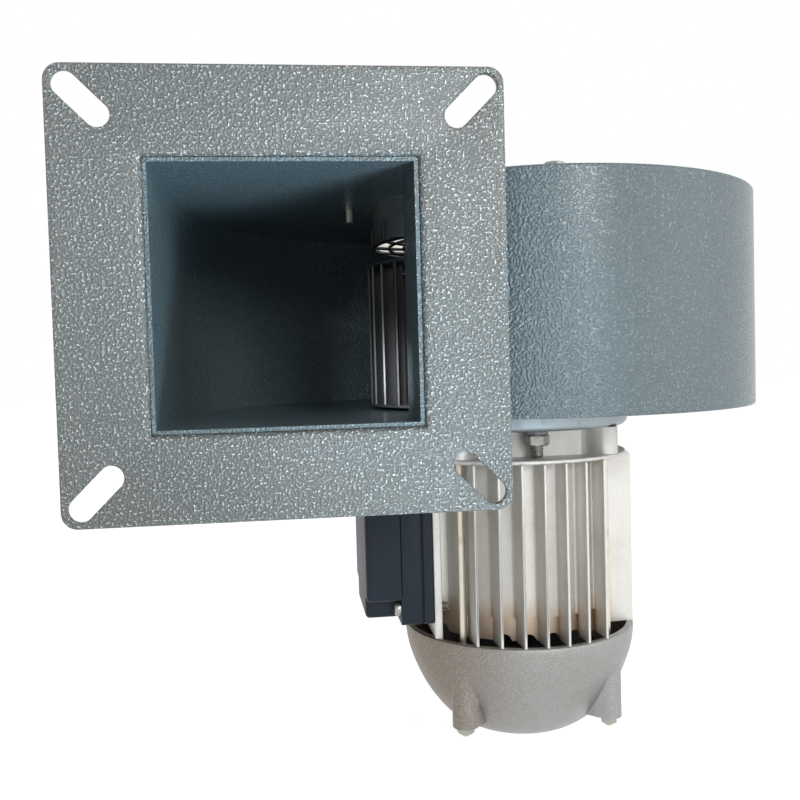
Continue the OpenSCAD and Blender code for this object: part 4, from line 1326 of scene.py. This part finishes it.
        solid = Solid()
        spots = circle(1.0, steps)
        rows = [
            solid.ring((q * x, q * y, z if z is not None else edge(k)) for k, (x, y) in enumerate(spots))
            for q, z in ((r, None), (r, plate_low + 1), (r - 3, plate_low + 1), (r - 3, None))
        ]
        for i, row in enumerate(rows):
            solid.bridge(row, rows[(i + 1) % 4])
        seat, bore = self.bearing_r + 3.5, 7.0
        solid.spin([
            (bore, top - 13), (seat - 0.8, top - 13), (seat, top - 12.2), (seat, plate_low - 1.5),
            (seat + 1.5, plate_low), (r - 0.5, plate_low), (r, plate_low + 0.5), (r, top), (self.bore_r, top),
            (self.bore_r, top + 4), (self.bore_r - 3, top + 4), (self.bore_r - 3, top), (self.bearing_r, top),
            (self.bearing_r, top - 12), (bore, top - 12),
        ])
        self.shop.piece("rear_shield", solid.mesh("rear_shield", 35), Slot.CAST_ALUMINIUM, HOUSING, "rear_end_shield")

    def cowl_profile(self, inset: float, levels: int = 44) -> list[Point]:
        """The bowl's wall from rim to crown, drawn in by inset."""
        marks = [(1, 0), (1.004, 0.06), (0.985, 0.2), (0.945, 0.335), (0.895, 0.46), (0.835, 0.58), (0.755, 0.7),
                 (0.662, 0.81), (0.54, 0.9), (0.4, 0.96), (0.22, 0.995), (0.0, 0.998)]
        points = []
        for i in range(levels + 1):
            t = i / levels * (len(marks) - 1)
            k = min(int(t), len(marks) - 2)
            p = [marks[max(0, min(len(marks) - 1, k + d))] for d in (-1, 0, 1, 2)]
            points.append(tuple(catmull(*(q[axis] for q in p), t - k) for axis in (0, 1)))
        return [
            (max(0.0, self.tip_r * r - inset) if r > 0.01 else 0.0, self.cowl_rim - (self.cowl_h - inset) * d)
            for r, d in points
        ]

    def cowl(self) -> None:
        """The cowl: a bowl that swells into a foot at each rod."""
        foot = self.cowl_rim - self.cowl_boss_h
        boss = self.boss_r - 0.5

        def swell(angle: float, r: float, z: float) -> float:
            if z < foot:
                return r
            reach = boss_reach(angle, self.rod_circle, boss)
            return smooth_max(r, reach, 1.6) if reach else r

        outer = self.cowl_profile(0.0)
        at_foot = next(k for k, (_, z) in enumerate(outer) if z < foot)
        (r0, z0), (r1, z1) = outer[at_foot - 1], outer[at_foot]
        r_foot = r0 + (r1 - r0) * (foot - z0) / (z1 - z0)
        outer[at_foot:at_foot] = [(r_foot, foot), (r_foot - 0.01, foot - 0.02)]
        outer = [(outer[0][0] - 0.5, outer[0][1]), (outer[0][0], outer[0][1] - 0.5)] + outer[1:]
        inner = self.cowl_profile(self.cowl_t)
        inner[0] = (outer[0][0] - self.cowl_t + 1.0, self.cowl_rim)
        skin = set(outer)
        shell = Solid().spin(outer + inner[::-1], 360, lambda a, r, z: swell(a, r, z) if (r, z) in skin else r)
        self.shop.piece(
            "cowl", self.pierced(shell.mesh("cowl", 50)), Slot.BLASTED_ALUMINIUM, HOUSING, "fan_cowl")

    def pierced(self, shell: bpy.types.Mesh) -> bpy.types.Mesh:
        """Cuts the intake slots through the cowl's crown."""
        w, low, high = self.slot_w / 2, self.cowl_rim - self.cowl_h - 2, self.cowl_rim - self.cowl_h + self.cowl_t + 6
        run = self.slot_run / 2
        outline = arc(self.slot_r + run, 0, w, -90, 90, 15) + arc(self.slot_r - run, 0, w, 90, 270, 15)
        one = Solid().prism(outline, low, high).mesh("slot")
        cutter = bpy.data.objects.new("slots", copies_round_axis(
            "slots", one, self.slots, 0.0, self.shop.finish[Slot.BLASTED_ALUMINIUM]))
        host = bpy.data.objects.new("cowl_host", shell)
        for thing in (cutter, host):
            bpy.context.collection.objects.link(thing)
        cut = host.modifiers.new("slots", "BOOLEAN")
        cut.object, cut.operation, cut.solver = cutter, "DIFFERENCE", "EXACT"
        mesh = bpy.data.meshes.new_from_object(host.evaluated_get(bpy.context.evaluated_depsgraph_get()))
        for thing in (cutter, host):
            bpy.data.objects.remove(thing)
        return mesh

    def rods(self) -> None:
        """Four through rods, threaded at their low ends, and their nuts."""
        foot = self.cowl_rim - self.cowl_boss_h
        end, spot = foot - 3.2 - 1.4, (self.rod_circle, 0.0)
        rod = threaded_rod(self.rod_r, end, foot + 14, spot, 0.7, 0.22)
        rod.spin([(0, foot + 13.5), (self.rod_r - 0.3, foot + 13.5), (self.rod_r - 0.3, self.neck_low + 6),
                  (0, self.neck_low + 6)], 24, None, spot)
        mesh = copies_round_axis(
            "rods", rod.mesh("rod", 30), 4, 45.0, self.shop.finish[Slot.YELLOW_ZINC])
        self.shop.piece("rods", mesh, Slot.YELLOW_ZINC, HOUSING, "through_rods")
        nut = hex_head(7.0, 3.2, foot - 3.2, spot, self.rod_r)
        mesh = copies_round_axis("rod_end_nuts", nut.mesh("nut", 30), 4, 45.0, self.shop.finish[Slot.ZINC])
        self.shop.piece("rod_end_nuts", mesh, Slot.ZINC, HOUSING, "rod_nuts")


def catmull(a: float, b: float, c: float, d: float, t: float) -> float:
    """Catmull-Rom value between b and c."""
    return b + t * (c - a + t * (2 * a - 5 * b + 4 * c - d + t * (3 * (b - c) + d - a))) / 2


# ---------------------------------------------------------------- terminal box


@dataclass
class TerminalBox:
    """The moulded box on the left of the motor: tray, cover, screws and cable gland."""

    shop: Workshop
    seat: float = 46.7
    width: float = 60.99
    height: float = 69.0
    middle: float = -163.1
    tray_d: float = 5.6
    gasket: float = 0.8
    skirt_d: float = 9.8
    cover_d: float = 16.0
    cover_inset: float = 2.0
    pocket: float = 11.5
    corner: float = 2.5
    screw_side: float = 4.4
    screw_end: float = 7.5
    screw_r: float = 2.0
    tip: float = 39.3
    head_r: float = 3.5
    head_h: float = 3.0
    gland_across: float = 18.0

    def __post_init__(self) -> None:
        """Takes the box's place from the CAD node."""
        low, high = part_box("terminal_base")
        back = self.shop.to_row.inverted()
        low, high = back @ Vector(low), back @ Vector(high)
        self.width, self.height = high.y - low.y, high.z - low.z
        self.middle, self.seat = (low.z + high.z) / 2, -high.x
        self.tip = -(back @ Vector(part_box("terminal_screws")[1])).x

    def stand(self) -> Matrix:
        """Turns a plate drawn flat so that its height runs outwards from the motor."""
        return Matrix(((0, 0, -1, 0), (-1, 0, 0, 0), (0, 1, 0, self.middle), (0, 0, 0, 1)))

    def build(self) -> None:
        """Builds every piece of the box."""
        self.tray()
        self.cover()
        self.screws()
        self.gland()

    def slab(self, inset: float) -> list[Point]:
        """Plan of the tray and of the cover's skirt."""
        return rounded_rect(self.width - 2 * inset, self.height - 2 * inset, self.corner - min(inset, 2.2), step=15)

    def tray(self) -> None:
        """The tray on the motor, with a rolled edge and a step for the gasket."""
        low, high = self.seat, self.seat + self.tray_d - self.gasket
        solid = Solid().plate([(self.slab, edge_rows(low, high, 0.8, 0.5, 4))])
        self.shop.piece(
            "box_tray", solid.turned(self.stand()).mesh("box_tray", 30), Slot.BOX_PLASTIC, HOUSING, "terminal_base")

    def cross_plan(self, inset: float) -> list[Point]:
        """Plan of the cover's raised part, which leaves a pocket at each corner."""
        w, h = self.width / 2 - inset, self.height / 2 - self.cover_inset - inset
        a, b = self.width / 2 - 2 * self.screw_side - inset, self.height / 2 - self.pocket - inset
        round_out, round_in = 2.4 - min(inset, 2.0), 1.6 + inset
        quarter = [(w, b, round_out), (a, b, round_in), (a, h, round_out)]
        corners = [(x, y, r) for x, y, r in quarter]
        corners += [(-x, y, r) for x, y, r in quarter[::-1]]
        corners += [(-x, -y, r) for x, y, r in quarter]
        corners += [(x, -y, r) for x, y, r in quarter[::-1]]
        return round_corners(corners, 15)

    def cover(self) -> None:
        """The cover: a skirt, and a raised part with rounded edges."""
        skirt, ledge = self.seat + self.tray_d, self.seat + self.tray_d + self.skirt_d
        top = ledge + self.cover_d
        solid = Solid().plate([(self.slab, edge_rows(skirt, ledge, 0.5, 0.2, 2))])
        raised = edge_rows(ledge - 0.6, top, 0.0, 2.0, 6)
        solid.plate([(self.cross_plan, raised)])
        self.shop.piece(
            "box_cover", solid.turned(self.stand()).mesh("box_cover", 30), Slot.BOX_PLASTIC, HOUSING,
            "terminal_cover")

    def screws(self) -> None:
        """Four pan-head screws with a cross recess, set deep in the cover's corners."""
        ledge = self.seat + self.tray_d + self.skirt_d
        y, z = self.width / 2 - self.screw_side, self.height / 2 - self.screw_end
        arm, wide = self.head_r * 0.62, self.head_r * 0.2
        cross = [(arm, wide), (wide, wide), (wide, arm), (-wide, arm), (-wide, wide), (-arm, wide),
                 (-arm, -wide), (-wide, -wide), (-wide, -arm), (wide, -arm), (wide, -wide), (arm, -wide)]
        thread = [(self.screw_r - 0.22 * (k % 2), self.tip + 0.4 + 0.35 * k)
                  for k in range(int((self.seat - self.tip) / 0.35))]
        solid = Solid()
        for sx in (-1, 1):
            for sy in (-1, 1):
                at = Vector((sx * y, sy * z))
                turn = Matrix.Rotation(math.radians(20 + 35 * sx + 50 * sy), 2)
                recess = [tuple(turn @ Vector(q) + at) for q in cross]
                floor, top = ledge + 1.2, ledge + self.head_h
                solid.plate([
                    (lambda i, c=at: circle(self.head_r - i, 40, c.x, c.y), edge_rows(floor, top, 0.0, 1.3, 5)),
                    (lambda _, q=recess: q, [(0.0, floor), (0.0, top)]),
                ])
                solid.spin([(0, ledge), (self.head_r - 0.2, ledge), (self.head_r, ledge + 0.2),
                            (self.head_r, floor + 0.05), (0, floor + 0.05)], 40, None, tuple(at))
                solid.spin([(0, self.tip), (self.screw_r - 0.5, self.tip), *thread, (self.screw_r, ledge + 0.1),
                            (0, ledge + 0.1)], 20, None, tuple(at))
        self.shop.piece(
            "box_screws", solid.turned(self.stand()).mesh("box_screws", 30), Slot.ZINC, HOUSING, "terminal_screws")

    def gland(self) -> None:
        """The cable gland: hexagon, fluted dome, bore and a plain round spigot."""
        across, bore, dome = self.gland_across, 4.5, 9.0
        corner = across / 2 / math.cos(math.pi / 6)
        profile = [
            (bore, -7.0), (7.0, -7.0), (7.5, -6.5), (7.5, 0.0), (across / 2 * 0.97, 0.0), (corner, 0.8),
            (corner, 3.2), (across / 2 * 0.97, 4.0), (dome - 0.6, 4.0), (dome, 4.6), (dome, 9.6),
            (dome - 0.9, 11.2), (dome - 2.6, 12.6), (dome - 3.4, 13.0), (bore, 13.0),
        ]

        def shape(angle: float, r: float, _: float) -> float:
            if r > dome + 0.3:
                return min(r, hexagon_reach(angle, across))
            return r - 0.3 + 0.3 * math.cos(16 * angle) if r > dome - 1.0 else r

        solid = Solid().spin(profile, 192, shape)
        reach = self.seat + self.tray_d + (self.skirt_d + self.cover_d) / 2
        spot = Vector((-reach, self.width / 2, self.middle))
        solid.turned(Matrix.Translation(spot) @ Matrix.Rotation(math.radians(-90), 4, "X"))
        self.shop.piece("gland_body", solid.mesh("gland_body", 30), Slot.BLACK_PLASTIC, HOUSING, "cable_gland")


# ---------------------------------------------------------------- impeller


@dataclass
class Impeller:
    """The forward-curved impeller."""

    shop: Workshop
    radius: float = 71.0
    blade_depth: float = 12.0
    blade_h: float = 65.0
    blades: int = 36
    blade_t: float = 0.8
    sweep: float = 9.0
    sheet: float = 1.2
    back: float = -96.4
    hub_r: float = 13.0
    hub_h: float = 22.0
    shaft_r: float = 6.0

    def build(self) -> None:
        """Builds the blades, plates, hub and shaft."""
        steps, z0 = 8, self.back + self.sheet
        spots = []
        for i in range(steps + 1):
            t = i / steps
            r, a = self.radius - self.blade_depth + 1 + (self.blade_depth - 2) * t, math.radians(self.sweep) * t * t
            spots.append(Vector((r * math.cos(a), r * math.sin(a))))
        sides: list[list[Point]] = [[], []]
        for i, spot in enumerate(spots):
            run = (spots[min(i + 1, steps)] - spots[max(i - 1, 0)]).normalized()
            normal = Vector((-run.y, run.x)) * self.blade_t / 2
            sides[0].append(tuple(spot - normal))
            sides[1].append(tuple(spot + normal))
        blade = Solid().prism(sides[0] + sides[1][::-1], z0, z0 + self.blade_h)
        mesh = copies_round_axis(
            "impeller_vanes", blade.mesh("vane", 40), self.blades, 0.0, self.shop.finish[Slot.IMPELLER_PAINT])
        self.shop.piece("impeller_vanes", mesh, Slot.IMPELLER_PAINT, ROTOR, "impeller_blades")
        ring_z = z0 + self.blade_h
        inner = self.radius - self.blade_depth
        lip = [(inner, ring_z + 0.3), (inner + 0.4, ring_z), (self.radius - 0.4, ring_z), (self.radius, ring_z + 0.4),
               (self.radius, ring_z + 0.8), (self.radius - 0.4, ring_z + 1.2), (inner + 0.4, ring_z + 1.2),
               (inner, ring_z + 0.8)]
        self.shop.piece(
            "impeller_rim", Solid().spin(lip).mesh("impeller_rim", 30), Slot.IMPELLER_PAINT, ROTOR,
            "impeller_front_ring")
        self.back_plate()
        self.hub_pieces()

    def back_plate(self) -> None:
        """The back plate: a disc with an eased edge."""
        z, t, bore = self.back, self.sheet, self.shaft_r + 2
        profile = [
            (bore, z), (self.radius - 0.4, z), (self.radius, z + 0.4), (self.radius, z + t - 0.4),
            (self.radius - 0.4, z + t), (bore, z + t),
        ]
        self.shop.piece(
            "impeller_disc", Solid().spin(profile).mesh("impeller_disc", 30), Slot.IMPELLER_PAINT, ROTOR,
            "impeller_back_plate")

    def hub_pieces(self) -> None:
        """The turned hub, its rivets, and the shaft with chamfered ends."""
        z, r, flange = self.back + self.sheet, self.hub_r, self.hub_r + 12.0
        profile = [
            (self.shaft_r, z), (flange - 0.4, z), (flange, z + 0.4), (flange, z + 3.4), (flange - 0.6, z + 4.0),
            (r + 1.6, z + 4.0), (r + 0.5, z + 4.5), (r, z + 5.6), (r, z + self.hub_h - 0.8),
            (r - 0.8, z + self.hub_h), (self.shaft_r + 0.6, z + self.hub_h), (self.shaft_r, z + self.hub_h - 0.6),
        ]
        self.shop.piece(
            "hub", Solid().spin(profile, 96).mesh("hub", 30), Slot.CAST_ALUMINIUM, ROTOR, "impeller_hub")
        spot, top = (self.hub_r + 6.0, 0.0), z + 4.0
        dome = [(3.5 * math.cos(math.pi / 2 * k / 6), top + 1.6 * math.sin(math.pi / 2 * k / 6)) for k in range(6)]
        rivet = Solid().spin([(0, self.back), (2, self.back), (2, top), *dome, (0, top + 1.6)], 32, None, spot)
        mesh = copies_round_axis(
            "rivets", rivet.mesh("rivet", 40), 6, 30.0, self.shop.finish[Slot.ZINC])
        self.shop.piece("rivets", mesh, Slot.ZINC, ROTOR, "hub_rivets")
        low, high = (self.shop.to_row.inverted() @ Vector(v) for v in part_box("shaft"))
        q = self.shaft_r
        bar = [(0, low.z), (q - 0.8, low.z), (q, low.z + 0.8), (q, high.z - 0.8), (q - 0.8, high.z), (1.6, high.z),
               (0, high.z - 1.6)]
        self.shop.piece("shaft_bar", Solid().spin(bar, 64).mesh("shaft_bar", 30), Slot.DARK_STEEL, ROTOR, "shaft")


# ---------------------------------------------------------------- stage


@dataclass
class Stage:
    """Camera, floor, backdrop and lamps."""

    camera_at: Vector = field(default_factory=lambda: Vector((-0.00056, -0.33865, -0.02591)))
    yaw: float = 6.895
    pitch: float = -2.336
    roll: float = -1.619
    lens: float = 41.5

    def camera(self) -> None:
        """Places the camera in front of the outlet."""
        y, p, r = (math.radians(v) for v in (self.yaw, self.pitch, self.roll))
        ahead = Vector((math.sin(y) * math.cos(p), math.cos(y) * math.cos(p), math.sin(p)))
        level = Vector((math.cos(y), -math.sin(y), 0.0))
        above = level.cross(ahead)
        right = level * math.cos(r) + above * math.sin(r)
        up = above * math.cos(r) - level * math.sin(r)
        data = bpy.data.cameras.new("camera")
        data.lens = self.lens
        data.sensor_width = 36.0
        data.clip_start = 0.01
        camera = bpy.data.objects.new("camera", data)
        bpy.context.collection.objects.link(camera)
        turn = Matrix((right, up, -ahead)).transposed().to_4x4()
        camera.matrix_world = Matrix.Translation(self.camera_at) @ turn
        bpy.context.scene.camera = camera

    def backdrop(self) -> None:
        """A pale floor under the blower, and a world of the same tone."""
        low, high = CAD_BOUNDS
        middle = (low + high) / 2
        reach = 6.0
        mesh = bpy.data.meshes.new("floor")
        corners = [(middle.x + sx * reach, middle.y + sy * reach, low.z - 0.018) for sx, sy in
                   ((-1, -1), (1, -1), (1, 1), (-1, 1))]
        mesh.from_pydata(corners, [], [(0, 1, 2, 3)])
        floor = bpy.data.objects.new("floor", mesh)
        bpy.context.collection.objects.link(floor)
        g = Graph("floor_paper")
        diffuse = g.node("ShaderNodeBsdfDiffuse", {}, {"Color": (0.82, 0.82, 0.82)})
        glow = g.node("ShaderNodeEmission", {}, {"Color": (1.0, 1.0, 1.0), "Strength": 0.78})
        both = g.node("ShaderNodeAddShader", {}, {0: diffuse.outputs[0], 1: glow.outputs[0]})
        rays = g.node("ShaderNodeLightPath").outputs
        camera, glossy, through = (Value(g, rays[f"Is {kind} Ray"]) for kind in ("Camera", "Glossy", "Transmission"))
        seen = camera + glossy + through
        mixed = g.node("ShaderNodeMixShader", {}, {0: seen, 1: diffuse.outputs[0], 2: both.outputs[0]})
        out = g.node("ShaderNodeOutputMaterial")
        g.tree.links.new(mixed.outputs[0], out.inputs["Surface"])
        mesh.materials.append(g.material)

        world = bpy.data.worlds.new("world")
        world.use_nodes = True
        nodes, links = world.node_tree.nodes, world.node_tree.links
        nodes.clear()
        rays = nodes.new("ShaderNodeLightPath").outputs
        add = nodes.new("ShaderNodeMath")
        add.operation = "MAXIMUM"
        links.new(rays["Is Camera Ray"], add.inputs[0])
        links.new(rays["Is Glossy Ray"], add.inputs[1])
        ambient, bright = nodes.new("ShaderNodeBackground"), nodes.new("ShaderNodeBackground")
        ambient.inputs[0].default_value = (0.95, 0.97, 1.0, 1.0)
        ambient.inputs[1].default_value = 0.37
        bright.inputs[0].default_value = (1.0, 1.0, 1.0, 1.0)
        bright.inputs[1].default_value = 1.0
        mix, out = nodes.new("ShaderNodeMixShader"), nodes.new("ShaderNodeOutputWorld")
        links.new(add.outputs[0], mix.inputs[0])
        links.new(ambient.outputs[0], mix.inputs[1])
        links.new(bright.outputs[0], mix.inputs[2])
        links.new(mix.outputs[0], out.inputs[0])
        bpy.context.scene.world = world

    def lamp(self, name: str, at: Sequence[float], aim: Sequence[float], size: float, power: float,
             spread: float = 180.0, tint: Colour = (1.0, 1.0, 1.0)) -> None:
        """Adds one soft square lamp that looks at a point.

        Args:
            name: the lamp's name.
            at: its place, in metres.
            aim: the point that it looks at.
            size: its side.
            power: its power in watts.
            spread: the angle of its beam, in degrees.
            tint: the colour of its light.
        """
        data = bpy.data.lights.new(name, "AREA")
        data.size = size
        data.energy = power
        data.spread = math.radians(spread)
        data.color = tint
        lamp = bpy.data.objects.new(name, data)
        lamp.visible_camera = False
        bpy.context.collection.objects.link(lamp)
        lamp.location = at
        lamp.rotation_euler = (Vector(aim) - Vector(at)).to_track_quat("-Z", "Y").to_euler()

    def lamps(self) -> None:
        """Soft lamps beside the camera, from low in front and from the right, and a small one in the outlet."""
        self.lamp("front", (0.34, -1.05, 0.34), (0.05, 0.05, -0.02), 0.34, 5.6)
        self.lamp("low_front", (0.15, -0.17, -0.19), (-0.01, 0.03, 0.04), 0.08, 0.075, 50.0, (0.74, 0.96, 1.16))
        self.lamp("window", (0.03, 0.006, -0.03), (0.054, 0.09, -0.035), 0.02, 0.007, 40.0)
        self.lamp("right", (1.3, -0.5, 0.35), (0.12, 0.1, -0.05), 0.9, 3.4)

    def build(self) -> None:
        """Sets the whole stage."""
        self.camera()
        self.backdrop()
        self.lamps()
        bpy.context.scene.view_settings.view_transform = "Standard"


def main() -> None:
    """Builds the stage and every sub-assembly."""
    logging.basicConfig(level=logging.INFO, format="%(name)s: %(message)s")
    Stage().build()
    shop = Workshop()
    shop.dress_nodes()
    casing = ScrollCasing(shop)
    casing.build()
    OutletFlange(shop, casing).build()
    Inlet(shop).build()
    MotorMount(shop).build()
    Motor(shop).build()
    TerminalBox(shop).build()
    Impeller(shop).build()


if __name__ == "__main__":
    main()
